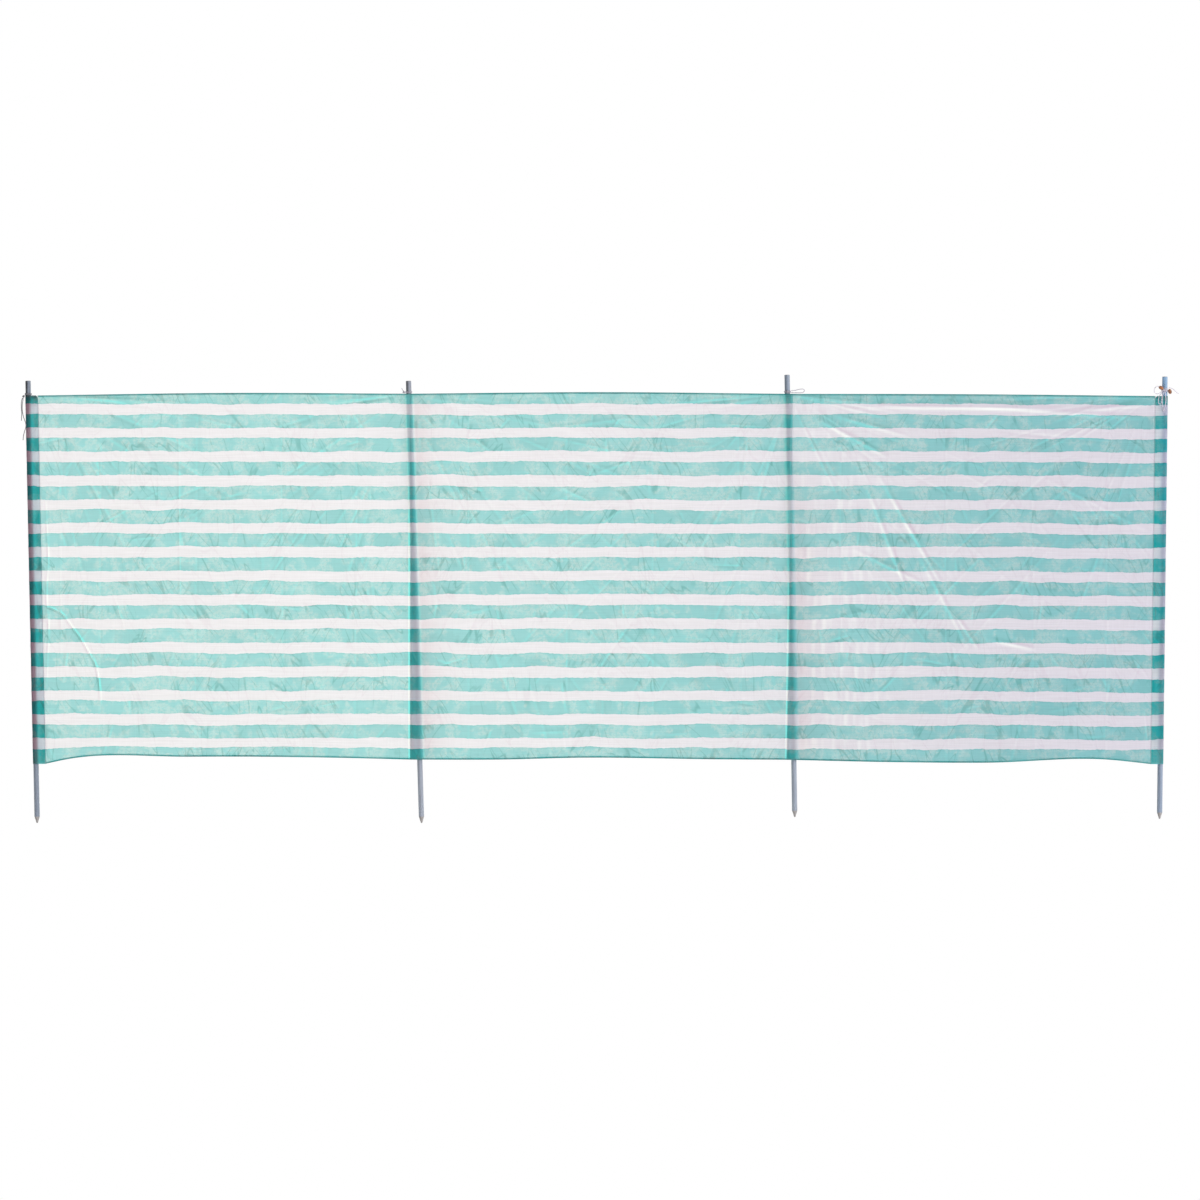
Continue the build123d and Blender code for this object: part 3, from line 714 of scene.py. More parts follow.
def make_print_group(settings):
    """The printed cloth's colour in front light and against the light, with painted light and shade from its marks,
    and its surface.
    """
    number, vector, colour = "NodeSocketFloat", "NodeSocketVector", "NodeSocketColor"
    tree, given, result = new_group(
        "Printed Cloth",
        [
            ("Print", vector, None),
            ("Place", vector, None),
            ("Crease", number, 0.0),
            ("Streak", number, 0.0),
            ("Seam", number, 1.0),
            ("Hem", number, 1.0),
            ("Layers", number, 0.0),
            ("Shade", number, 0.0),
        ],
        [("Front", colour), ("Through", colour), ("Shine", number), ("Normal", vector), ("Soft Normal", vector)],
    )
    sizes = {"Pitch": settings.stripe_pitch, "Band": settings.stripe_band, "First": settings.stripe_first}
    stripes = use_group(tree, "Painted Stripes", {"Place": given.outputs["Print"], **sizes})
    weave = use_group(tree, "Plain Weave", {"Place": given.outputs["Place"]})
    creases = use_group(tree, "Crisp Creases", {"Place": given.outputs["Place"]})
    parts = node(tree, "ShaderNodeSeparateXYZ", None, {0: given.outputs["Place"]})
    upright = use_group(tree, "Stitch Row", {"From Edge": given.outputs["Seam"], "Along": parts.outputs[2]})
    beside_hem = {"From Edge": given.outputs["Hem"], "Along": parts.outputs[0], "Inset": 0.0042}
    level = use_group(tree, "Stitch Row", beside_hem)
    thread = sums(tree, "MAXIMUM", upright.outputs["Mask"], level.outputs["Mask"])
    pucker = sums(tree, "MAXIMUM", upright.outputs["Pucker"], level.outputs["Pucker"])
    ink, rim, wash = (stripes.outputs[k] for k in ("Ink", "Rim", "Wash"))
    block = spread(tree, stripes.outputs["Block"], 0.0, 1.0, 0.965, 1.035, smooth=False)
    tone = spread(tree, weave.outputs["Tone"], 0.0, 1.0, 0.93, 1.07, smooth=False)
    crease, streak, line = given.outputs["Crease"], given.outputs["Streak"], creases.outputs["Line"]
    # Painted light and shade from the marks: the lit side of a fold, the seam line and the cloth over a pocket turn
    # paler and glossier, and the other side of a fold and the sharpest crease lines turn deeper and duller
    pale = sums(tree, "MULTIPLY", crease, 1.0, clamp=True)
    crease_shade = sums(tree, "MULTIPLY_ADD", crease, -1.0, sums(tree, "MULTIPLY", line, 0.62), clamp=True)
    shine = sums(tree, "MULTIPLY", streak, 0.6, clamp=True)
    dull = sums(tree, "MULTIPLY_ADD", streak, -0.6, sums(tree, "MULTIPLY", line, 0.26), clamp=True)

    # In front light: saturated ink on a lilac white
    strong = tuple(c * 0.72 for c in settings.ink)
    body = blend_colour(tree, sums(tree, "MULTIPLY", rim, 0.7), opaque(settings.ink), opaque(strong))
    body = blend_colour(tree, sums(tree, "MULTIPLY", wash, 0.50), body, PRINT_COLOURS["washed ink"])
    body = blend_colour(tree, 1.0, body, grey(tree, block), "MULTIPLY")
    body = blend_colour(tree, sums(tree, "MULTIPLY", pale, 0.6), body, PRINT_COLOURS["lit ink"])
    plain = blend_colour(tree, shine, opaque(settings.ground), PRINT_COLOURS["lit ground"])
    plain = blend_colour(tree, dull, plain, PRINT_COLOURS["shaded ground"])
    front = blend_colour(tree, ink, plain, body)
    front = blend_colour(tree, 1.0, front, grey(tree, tone), "MULTIPLY")
    front = blend_colour(tree, sums(tree, "MULTIPLY", thread, 0.6), front, PRINT_COLOURS["thread"])
    # Painted shade over and beside the poles darkens this colour and the colour against the light
    shade = blend_colour(tree, given.outputs["Shade"], PRINT_COLOURS["white"], PRINT_COLOURS["shade"])
    tree.links.new(blend_colour(tree, 1.0, front, shade, "MULTIPLY"), result.inputs["Front"])

    # Against the light: a pale wash of the same colours
    rich = (settings.ink_through[0] * 0.70, settings.ink_through[1] * 0.97, settings.ink_through[2] * 0.98)
    glow = blend_colour(tree, sums(tree, "MULTIPLY", rim, 0.75), opaque(settings.ink_through), opaque(rich))
    glow = blend_colour(tree, sums(tree, "MULTIPLY", wash, 0.45), glow, PRINT_COLOURS["washed ink against light"])
    glow = blend_colour(tree, 1.0, glow, grey(tree, block), "MULTIPLY")
    # Layers deepens the light through doubled cloth; on the bays it is a painted deeper tint where a pocket lies
    # behind
    glow = blend_colour(tree, given.outputs["Layers"], glow, PRINT_COLOURS["ink through layers"])
    glow = blend_colour(tree, pale, glow, PRINT_COLOURS["lit ink against light"])
    glow = blend_colour(tree, crease_shade, glow, PRINT_COLOURS["crease-shaded ink"])
    layered = PRINT_COLOURS["ground through layers"]
    clear = blend_colour(tree, given.outputs["Layers"], opaque(settings.ground_through), layered)
    clear = blend_colour(tree, shine, clear, PRINT_COLOURS["white"])
    clear = blend_colour(tree, dull, clear, PRINT_COLOURS["crease-shaded ground"])
    through = blend_colour(tree, ink, clear, glow)
    through = blend_colour(tree, 1.0, through, grey(tree, tone), "MULTIPLY")
    through = blend_colour(tree, sums(tree, "MULTIPLY", thread, 0.6), through, PRINT_COLOURS["thread against light"])
    tree.links.new(blend_colour(tree, 1.0, through, shade, "MULTIPLY"), result.inputs["Through"])

    tree.links.new(spread(tree, weave.outputs["Tone"], 0.0, 1.0, 0.47, 0.36, smooth=False), result.inputs["Shine"])
    soft = bump(tree, 0.5, 0.0012, creases.outputs["Height"])
    soft = bump(tree, 0.6, 0.0006, pucker, soft, invert=True)
    fine = bump(tree, 0.2, 0.00012, weave.outputs["Height"], soft)
    fine = bump(tree, 0.6, 0.0003, thread, fine)
    tree.links.new(fine, result.inputs["Normal"])
    tree.links.new(soft, result.inputs["Soft Normal"])


def make_wood_group():
    """Long grain up a round pole or bead: Tone and Height."""
    number = "NodeSocketFloat"
    tree, given, result = new_group(
        "Long Grain",
        [("Place", "NodeSocketVector", None), ("Fine", number, 1.0)],
        [("Tone", number), ("Height", number)],
    )
    inputs = {0: given.outputs["Place"], "Scale": given.outputs["Fine"]}
    place = node(tree, "ShaderNodeVectorMath", {"operation": "SCALE"}, inputs).outputs[0]
    broad = grain(tree, scaled(tree, place, (130.0, 130.0, 5.0)), 1.0, 4.0, 0.6, 0.6)
    fine = grain(tree, scaled(tree, place, (700.0, 700.0, 22.0)), 1.0, 3.0, 0.6)
    tree.links.new(sums(tree, "MULTIPLY_ADD", broad, 0.65, sums(tree, "MULTIPLY", fine, 0.35)), result.inputs["Tone"])
    tree.links.new(fine, result.inputs["Height"])


def start_material(name):
    material = bpy.data.materials.new(name)
    material.use_nodes = True
    tree = material.node_tree
    tree.nodes.clear()
    output = tree.nodes.new("ShaderNodeOutputMaterial")
    place = tree.nodes.new("ShaderNodeTexCoord").outputs["Object"]
    return material, tree, output, place


def plain_finish(tree, output, finish):
    surface = node(tree, "ShaderNodeBsdfPrincipled", None, finish)
    tree.links.new(surface.outputs[0], output.inputs["Surface"])


def opaque(colour):
    return (*colour, 1.0)


def make_cloth_material(name, through):
    """Thin printed cloth that lets a share of the light through; its print is paler behind."""
    material, tree, output, place = start_material(name)
    marks = {
        label.title(): node(tree, "ShaderNodeAttribute", {"attribute_name": label}).outputs["Fac"]
        for label in ("crease", "streak", "seam", "hem", "layers", "shade")
    }
    print_at = node(tree, "ShaderNodeUVMap", {"uv_map": "print"}).outputs[0]
    cloth = use_group(tree, "Printed Cloth", {"Print": print_at, "Place": place, **marks})
    behind = node(tree, "ShaderNodeNewGeometry").outputs["Backfacing"]
    front = blend_colour(tree, sums(tree, "MULTIPLY", behind, 0.22), cloth.outputs["Front"], (0.72, 0.72, 0.74, 1.0))
    gloss = 0.4 if name == "Striped Cloth" else 0.15
    surface = node(
        tree,
        "ShaderNodeBsdfPrincipled",
        None,
        {
            "Base Color": front,
            "Roughness": cloth.outputs["Shine"],
            "Specular IOR Level": gloss,
            "Normal": cloth.outputs["Normal"],
        },
    )
    lit_through = {"Color": cloth.outputs["Through"], "Normal": cloth.outputs["Soft Normal"]}
    glow = node(tree, "ShaderNodeBsdfTranslucent", None, lit_through)
    both = node(tree, "ShaderNodeMixShader", None, {0: through, 1: surface.outputs[0], 2: glow.outputs[0]})
    tree.links.new(both.outputs[0], output.inputs["Surface"])
    return material


# Each pole's paint tint and how far it turns to the top colour towards its top, how strongly painted shade darkens
# its left side near the top, and the colour of that painted shade
POLE_TINTS = ((1.07, 1.10, 1.15), (1.53, 1.47, 1.46), (1.50, 1.50, 1.50), (1.19, 1.29, 1.40))
TOP_TINTING = (0.0, 0.0, 0.15, 1.0)
LEFT_SHADE_STRENGTH = (0.90, 0.70, 0.35, 0.0)
LEFT_SHADE_COLOUR = (0.030, 0.034, 0.036, 1.0)


def make_pole_material(pole, settings):
    """Thin paint on a turned pole, bare at the point and the sawn top, with painted shade on its left side near the
    top; the pattern stands on its foot.
    """
    material, tree, output, place = start_material(f"Painted Pole {pole + 1}")
    lean = radians(POLE_LEAN[pole])
    foot = Matrix.Rotation(-lean, 3, "Y") @ Vector((FOOT_X[pole], 0.0, FOOT_LIFT[pole]))
    local = scaled(tree, place, (1.0, 1.0, 1.0), tuple(-foot), (0.0, -lean, 0.0))
    height = node(tree, "ShaderNodeSeparateXYZ", None, {0: local}).outputs[2]
    wood = use_group(tree, "Long Grain", {"Place": local})
    rough_end = grain(tree, scaled(tree, local, (260.0, 260.0, 60.0)), 1.0, 3.0)
    ragged = sums(tree, "MULTIPLY_ADD", rough_end, 0.004, -0.002)
    point = spread(tree, sums(tree, "ADD", height, ragged), POINT_LENGTH - 0.0008, POINT_LENGTH + 0.0008, 1.0, 0.0)
    sawn = spread(tree, height, POLE_LENGTH - 0.0014, POLE_LENGTH - 0.0009)
    chips = spread(tree, grain(tree, scaled(tree, local, (120.0, 120.0, 26.0)), 1.0, 5.0, 0.7), 0.63, 0.68)
    bare = sums(tree, "MAXIMUM", sums(tree, "MAXIMUM", point, sawn), sums(tree, "MULTIPLY", chips, 0.7))
    dark = tuple(c * 0.62 for c in settings.bare)
    timber = blend_colour(tree, spread(tree, wood.outputs["Tone"], 0.40, 0.62), opaque(dark), opaque(settings.bare))
    # Each pole's tint, turning to the top colour higher up the last poles
    faded = tuple(c * s for c, s in zip(settings.paint, POLE_TINTS[pole]))
    top_share = spread(tree, height, 0.30, 1.30, 0.0, TOP_TINTING[pole])
    paint = blend_colour(tree, top_share, opaque(faded), opaque(settings.top_colour))
    streaks = spread(tree, wood.outputs["Tone"], 0.36, 0.66, 0.80, 1.22)
    paint = blend_colour(tree, 1.0, paint, grey(tree, streaks), "MULTIPLY")
    # Painted shade: the left side of the pole near its top darkens to near black, with a ragged edge
    side = node(tree, "ShaderNodeSeparateXYZ", None, {0: local}).outputs[0]
    blotches = grain(tree, scaled(tree, local, (90.0, 90.0, 40.0)), 1.0, 3.0)
    left_side = spread(tree, sums(tree, "MULTIPLY_ADD", blotches, 0.008, side), 0.001, 0.006, 1.0, 0.0)
    left_shade = sums(tree, "MULTIPLY", spread(tree, height, 1.350, 1.372), left_side)
    paint_and_shade = blend_colour(tree, sums(tree, "MULTIPLY", left_shade, LEFT_SHADE_STRENGTH[pole]), paint, LEFT_SHADE_COLOUR)
    colour = blend_colour(tree, bare, paint_and_shade, timber)
    rough = spread(tree, bare, 0.0, 1.0, 0.42, 0.78, smooth=False)
    raised = bump(tree, 0.35, 0.0003, wood.outputs["Height"])
    finish = {"Base Color": colour, "Roughness": rough, "Normal": raised}
    plain_finish(tree, output, finish)
    return material


def make_cord_material(name, cord_colour):
    """Soft twisted cord with stray darker fibres."""
    material, tree, output, place = start_material(name)
    fibre = grain(tree, scaled(tree, place, (1500.0, 1500.0, 900.0)), 1.0, 4.0, 0.6)
    soil = spread(tree, grain(tree, place, 90.0, 3.0), 0.45, 0.75)
    dark = tuple(c * 0.5 for c in cord_colour)
    light = tuple(min(1.0, c * 1.5) for c in cord_colour)
    colour = blend_colour(tree, spread(tree, fibre, 0.35, 0.65), opaque(cord_colour), opaque(light))
    colour = blend_colour(tree, sums(tree, "MULTIPLY", soil, 0.6), colour, opaque(dark))
    finish = {"Base Color": colour, "Roughness": 0.85, "Sheen Weight": 0.25, "Normal": bump(tree, 0.5, 0.0002, fibre)}
    plain_finish(tree, output, finish)
    return material


def make_bead_material(name, settings, centre, way):
    """Varnished wood with its grain along the bead."""
    material, tree, output, place = start_material(name)
    turn = way.to_track_quat("Z", "Y").to_matrix().transposed()
    local = scaled(tree, place, (1.0, 1.0, 1.0), tuple(-(turn @ centre)), tuple(turn.to_euler()))
    wood = use_group(tree, "Long Grain", {"Place": local, "Fine": 2.2})
    dark = tuple(c * 0.45 for c in settings.bead_colour)
    light = tuple(min(1.0, c * 1.5) for c in settings.bead_colour)
    colour = blend_colour(tree, spread(tree, wood.outputs["Tone"], 0.38, 0.62), opaque(dark), opaque(light))
    raised = bump(tree, 0.2, 0.0002, wood.outputs["Height"])
    rough = spread(tree, wood.outputs["Tone"], 0.3, 0.7, 0.38, 0.28, smooth=False)
    finish = {"Base Color": colour, "Roughness": rough, "Coat Weight": 0.5, "Coat Roughness": 0.15, "Normal": raised}
    plain_finish(tree, output, finish)
    return material


def make_floor_material():
    """Matt white, which the camera sees as evenly lit as the room."""
    material, tree, output, place = start_material("Pale Floor")
    mottle = spread(tree, grain(tree, place, 3.0, 4.0), 0.3, 0.7, 0.985, 1.0, smooth=False)
    finish = {"Base Color": grey(tree, mottle), "Roughness": 0.9, "Specular IOR Level": 0.0}
    surface = node(tree, "ShaderNodeBsdfPrincipled", None, finish)
    even = node(tree, "ShaderNodeEmission", None, {"Color": (1.0, 1.0, 1.0, 1.0), "Strength": 1.0})
    seen = node(tree, "ShaderNodeLightPath").outputs["Is Camera Ray"]
    both = node(tree, "ShaderNodeMixShader", None, {0: seen, 1: surface.outputs[0], 2: even.outputs[0]})
    tree.links.new(both.outputs[0], output.inputs["Surface"])
    return material


# Ties


def middle_of(name):
    low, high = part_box(name)
    return (low + high) / 2


def route_line(points):
    """Points along the smooth NURBS line through a cord's route."""
    curve = bpy.data.curves.new("route", "CURVE")
    curve.dimensions = "3D"
    curve.resolution_u = 12
    spline = curve.splines.new("NURBS")
    spline.points.add(len(points) - 1)
    for point, place in zip(spline.points, points):
        point.co = (*place, 1.0)
    spline.order_u = 3
    spline.use_endpoint_u = True
    holder = bpy.data.objects.new("route", curve)
    mesh = bpy.data.meshes.new_from_object(holder)
    line = [v.co.copy() for v in mesh.vertices]
    bpy.data.objects.remove(holder)
    bpy.data.curves.remove(curve)
    bpy.data.meshes.remove(mesh)
    return line


def even_line(line, step):
    """The same line with its points evenly spaced."""
    places = np.array([tuple(p) for p in line])
    runs = np.linalg.norm(np.diff(places, axis=0), axis=1)
    travelled = np.concatenate([[0.0], np.cumsum(runs)])
    count = max(2, int(travelled[-1] / step) + 1)
    at = np.linspace(0, travelled[-1], count)
    return [Vector([np.interp(a, travelled, places[:, k]) for k in range(3)]) for a in at]


def twisted_cord(name, line, diameter, twist, strands=3, sides=7):
    """A mesh of strands that wind round each other along a line."""
    line = even_line(line, 0.0009)
    radius = diameter / 2
    offset = radius * 0.48
    thin = radius * 0.54
    verts, faces = [], []
    way = (line[1] - line[0]).normalized()
    side = way.orthogonal().normalized()
    frames, travelled = [], 0.0
    for k, place in enumerate(line):
        ahead = line[min(k + 1, len(line) - 1)] - line[max(k - 1, 0)]
        new_way = ahead.normalized() if ahead.length > 0 else way
        side = (way.rotation_difference(new_way) @ side).normalized()
        way = new_way
        travelled += (place - line[k - 1]).length if k else 0.0
        frames.append((place, side.copy(), way.cross(side), travelled))
    for strand in range(strands):
        first = len(verts)
        for place, side, up, distance in frames:
            turn = 2 * pi * (strand / strands + distance / twist)
            centre = place + (side * cos(turn) + up * sin(turn)) * offset
            for s in range(sides):
                a = 2 * pi * s / sides
                verts.append(centre + (side * cos(a) + up * sin(a)) * thin)
        for k in range(len(frames) - 1):
            for s in range(sides):
                a = first + k * sides + s
                b = first + k * sides + (s + 1) % sides
                faces.append((a, b, b + sides, a + sides))
        faces.append(tuple(first + s for s in reversed(range(sides))))
        faces.append(tuple(first + (len(frames) - 1) * sides + s for s in range(sides)))
    mesh = bpy.data.meshes.new(name)
    mesh.from_pydata([tuple(v) for v in verts], [], faces)
    mesh.update()
    mesh.polygons.foreach_set("use_smooth", [len(p.vertices) == 4 for p in mesh.polygons])
    piece = bpy.data.objects.new(name, mesh)
    bpy.context.scene.collection.objects.link(piece)
    return piece


# Routes of the loose cords, from the middle of the knot that each leaves
ROUTES = {
    "tail_long": (
        "knot_1", 0.140, "bare",
        [(-0.0008, -0.0006, -0.0050), (-0.0020, -0.0015, -0.0140), (-0.0040, -0.0025, -0.0300),
         (-0.0036, -0.0040, -0.0460), (0.0006, -0.0070, -0.0660), (0.0088, -0.0100, -0.0860),
         (0.0096, -0.0105, -0.0980), (0.0045, -0.0100, -0.1140), (0.0008, -0.0090, -0.1280),
         (-0.0002, -0.0085, -0.1410)],
    ),
    "tail_short": (
        "knot_1", 0.075, "bare",
        [(-0.0030, 0.0008, -0.0044), (-0.0056, 0.0014, -0.0100), (-0.0076, 0.0020, -0.0200),
         (-0.0074, 0.0024, -0.0360), (-0.0058, 0.0020, -0.0520), (-0.0062, 0.0015, -0.0660),
         (-0.0070, 0.0012, -0.0780)],
    ),
    "side_loop": (
        "knot_3", 0.108, "object",
        [(0.0049, 0.0000, 0.0017), (0.0140, 0.0010, 0.0030), (0.0270, 0.0030, 0.0050),
         (0.0400, 0.0045, 0.0086), (0.0505, 0.0050, 0.0090), (0.0550, 0.0050, 0.0044),
         (0.0520, 0.0050, -0.0014), (0.0430, 0.0050, -0.0034), (0.0300, 0.0040, -0.0030),
         (0.0160, 0.0015, -0.0034), (0.0049, -0.0002, -0.0019)],
    ),
    "bow_loop": (
        "knot_4", 0.069, "object",
        [(-0.01412, 0.0000, 0.00815), (-0.0241, 0.0000, 0.0139), (-0.0330, 0.0003, 0.0074),
         (-0.0356, 0.0005, -0.0036), (-0.0300, 0.0006, -0.0120), (-0.0205, 0.0000, -0.0125),
         (-0.0135, -0.0012, -0.0065), (-0.0069, -0.0014, -0.0024)],
    ),
    "hanging_loop": (
        "knot_4", 0.092, "object",
        [(-0.0025, 0.0037, -0.0060), (-0.0060, 0.0047, -0.0130), (-0.0100, 0.0048, -0.0250),
         (-0.0104, 0.0048, -0.0360), (-0.0114, 0.0048, -0.0410), (-0.0142, 0.0048, -0.0446),
         (-0.0180, 0.0048, -0.0442), (-0.0206, 0.0048, -0.0404), (-0.0208, 0.0048, -0.0320),
         (-0.0176, 0.0048, -0.0190), (-0.0110, 0.0044, -0.0090), (-0.0056, 0.0033, -0.0037)],
    ),
    "right_tail": (
        "knot_4", 0.048, "bare",
        [(0.00595, 0.0007, 0.0035), (0.0120, 0.0027, 0.0075), (0.0190, 0.0052, 0.0080),
         (0.0290, 0.0072, 0.0020), (0.0380, 0.0092, -0.0055), (0.0455, 0.0102, -0.0120)],
    ),
    "front_tail_left": (
        "knot_4", 0.054, "knot",
        [(-0.0035, 0.0002, -0.0061), (-0.0064, 0.0004, -0.0130), (-0.0088, 0.0008, -0.0250),
         (-0.0090, 0.0012, -0.0390), (-0.0074, 0.0019, -0.0510), (-0.0058, 0.0026, -0.0594)],
    ),
    "front_tail_right": (
        "knot_4", 0.053, "knot",
        [(0.0003, 0.0002, -0.0070), (0.0006, 0.0004, -0.0140), (0.0028, 0.0008, -0.0250),
         (0.0034, 0.0012, -0.0370), (0.0010, 0.0018, -0.0490), (-0.0016, 0.0026, -0.0594)],
    ),
}


# The name and the lightness of the cord where it isn't as the other ties' cord
CORD_KINDS = {"1": ("Dark Tie Cord", 0.42), "4": ("Light Tie Cord", 1.35)}

# Each knot, how wide it is drawn, and how it is turned in degrees
KNOTS = (
    ("knot_1", 0.009, 20),
    ("knot_2", 0.009, 65),
    ("knot_3", 0.009, -30),
    ("knot_4", 0.015, 10),
    ("tail_knot", 0.010, 40),
)


def cord_material(settings, tie):
    """The cord of a tie; the first pole's is darker, and the last pole's is the lightest."""
    name, level = CORD_KINDS.get(tie, ("Tie Cord", 1.0))
    return bpy.data.materials.get(name) or make_cord_material(name, tuple(c * level for c in settings.cord_colour))


def knot_line(centre, size, turn):
    """A trefoil drawn tight, as the line that a knotted cord follows."""
    points = []
    for k in range(97):
        t = 2 * pi * k / 96
        place = Vector((sin(t) + 2 * sin(2 * t), cos(t) - 2 * cos(2 * t), -1.6 * sin(3 * t))) / 3
        points.append(centre + (turn @ place) * size)
    return points


class WINDBREAK_OT_knots(bpy.types.Operator):
    """Draws each knot tight from the tie cord, and the stub that stands up from the second."""

    bl_idname = "windbreak.knots"
    bl_label = "Build Knots"

    def execute(self, context):
        settings = context.scene.windbreak_ties
        radius = settings.cord_diameter / 2
        for name, width, angle in KNOTS:
            low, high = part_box(name)
            centre = (low + high) / 2
            if name == "knot_2":
                centre = Vector((high.x - width / 2, (low.y + high.y) / 2, low.z + width / 2))
            turn = Matrix.Rotation(radians(80), 3, "X") @ Matrix.Rotation(radians(angle), 3, "Z")
            line = knot_line(centre, width / 2 - radius * 0.9, turn)
            piece = twisted_cord(f"tied_{name}", line, settings.cord_diameter, settings.twist)
            tie = name[-1] if name[-1].isdigit() else "4"
            finish_piece(piece, cord_material(settings, tie), "tie_cord", name)
        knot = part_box("knot_2")
        start = Vector((knot[1].x - 0.0045, middle_of("knot_2").y, knot[0].z + 0.0045))
        way = Vector((-cos(radians(62)), 0.0, sin(radians(62))))
        ends = [start + way * 0.002, start + way * 0.0142]
        stub = twisted_cord("cut_stub", ends, settings.cord_diameter, settings.twist)
        finish_piece(stub, cord_material(settings, "2"), "tie_cord")
        return {"FINISHED"}


class WINDBREAK_OT_cords(bpy.types.Operator):
    """Lays the loose ends and loops of the ties along their routes."""

    bl_idname = "windbreak.cords"
    bl_label = "Build Loose Cords"

    def execute(self, context):
        settings = context.scene.windbreak_ties
        for name, (knot, length, far_end, route) in ROUTES.items():
            start = middle_of(knot)
            line = route_line([start + Vector(offset) for offset in route])
            piece = twisted_cord(f"cord_{name}", line, settings.cord_diameter, settings.twist)
            finish_piece(piece, cord_material(settings, knot[-1]), "tie_cord", name)
        return {"FINISHED"}


class WINDBREAK_OT_lashings(bpy.types.Operator):
    """Winds two turns of cord round each pole above the cloth."""

    bl_idname = "windbreak.lashings"
    bl_label = "Build Lashings"

    def execute(self, context):
        settings = context.scene.windbreak_ties
        radius = POLE_RADIUS + 0.0002 + settings.cord_diameter / 2
        turns, steps = 2, 144
        for pole in POLES:
            lean = radians(POLE_LEAN[pole])
            centre = middle_of(f"lashing_{pole + 1}")
            start = (pi, pi, -pi / 2, -pi / 2)[pole]
            line = []
            for k in range(steps + 1):
                turn = start + 2 * pi * turns * k / steps
                rise = (k / steps - 0.5) * settings.cord_diameter * turns
                rise += 0.0006 * sin(2 * turn + pole)
                place = Vector((radius * cos(turn), radius * sin(turn), rise))
                line.append(centre + Matrix.Rotation(lean, 3, "Y") @ place)
            piece = twisted_cord(f"wound_lashing_{pole + 1}", line, settings.cord_diameter, settings.twist)
            finish_piece(piece, cord_material(settings, str(pole + 1)), "tie_cord", f"lashing_{pole + 1}")
        return {"FINISHED"}


def model_bead(name):
    """A barrel bead about +Z: a stretched ball with its ends cut off and a bore through it."""
    deselect()
    bpy.ops.mesh.primitive_uv_sphere_add(segments=28, ring_count=18, radius=0.006)
    bead = bpy.context.active_object
    bead.name = name
    bpy.ops.object.mode_set(mode="EDIT")
    bpy.ops.mesh.select_all(action="SELECT")
    bpy.ops.transform.resize(value=(1.0, 1.0, 1.538))
    for end in (1, -1):
        bpy.ops.mesh.select_all(action="SELECT")
        bpy.ops.mesh.bisect(plane_co=(0, 0, 0.0075 * end), plane_no=(0, 0, end), use_fill=True, clear_outer=True)
    bpy.ops.object.mode_set(mode="OBJECT")
    for face in bead.data.polygons:
        face.select = abs(face.normal.z) > 0.98 and abs(face.center.z) > 0.0070
    for edge in bead.data.edges:
        edge.select = False
    for vertex in bead.data.vertices:
        vertex.select = False
    bpy.ops.object.mode_set(mode="EDIT")
    bpy.ops.mesh.select_mode(type="FACE")
    bpy.ops.mesh.inset(thickness=0.0018, use_individual=True)
    bpy.ops.mesh.bridge_edge_loops()
    bpy.ops.mesh.select_all(action="SELECT")
    bpy.ops.mesh.normals_make_consistent(inside=False)
    bpy.ops.object.mode_set(mode="OBJECT")
    soften = bead.modifiers.new("soft edges", "BEVEL")
    soften.width = 0.0004
    soften.segments = 3
    soften.limit_method = "ANGLE"
    soften.angle_limit = radians(40)
    bpy.ops.object.modifier_apply(modifier="soft edges")
    bpy.ops.object.shade_smooth_by_angle(angle=radians(35))
    return bead


class WINDBREAK_OT_beads(bpy.types.Operator):
    """Turns the two wooden beads of the last tie."""

    bl_idname = "windbreak.beads"
    bl_label = "Build Beads"

    def execute(self, context):
        settings = context.scene.windbreak_ties
        side = Vector((cos(radians(-31)), sin(radians(-31)), 0.0))
        level = Vector((-side.y, side.x, 0.0))
        ways = {
            "bead_left": Vector((-cos(radians(30)), 0.0, sin(radians(30)))),
            "bead_right": level * cos(radians(55)) - Vector((0.0, 0.0, sin(radians(55)))),
        }
        for node_name, way in ways.items():
            centre = middle_of(node_name)
            bead = model_bead(f"turned_{node_name}")
            place = Matrix.Translation(centre) @ way.to_track_quat("Z", "Y").to_matrix().to_4x4()
            bead.data.transform(place)
            material = make_bead_material(f"Varnished {node_name.replace('_', ' ').title()}", settings, centre, way)
            finish_piece(bead, material, "bead_wood", node_name)
        return {"FINISHED"}


# Cloth


def cloth_material(kind):
    """Single cloth for the bays; doubled cloth, for pockets and hems, lets less light through."""
    through = {"Striped Cloth": 0.40, "Doubled Cloth": 0.50}[kind]
    return bpy.data.materials.get(kind) or make_cloth_material(kind, through)


class WINDBREAK_OT_bays(bpy.types.Operator):
    """Stretches the striped cloth between the seams, with its bow, waves and creases."""

    bl_idname = "windbreak.bays"
    bl_label = "Build Cloth Bays"

    def execute(self, context):
        settings = context.scene.windbreak_cloth
        material = cloth_material("Striped Cloth")
        for bay in BAYS:
            piece = grid_mesh(f"cloth_bay_{bay + 1}", *cloth_grid(settings, bay))
            finish_piece(piece, material, "striped_cloth", f"panel_{bay + 1}")
        return {"FINISHED"}


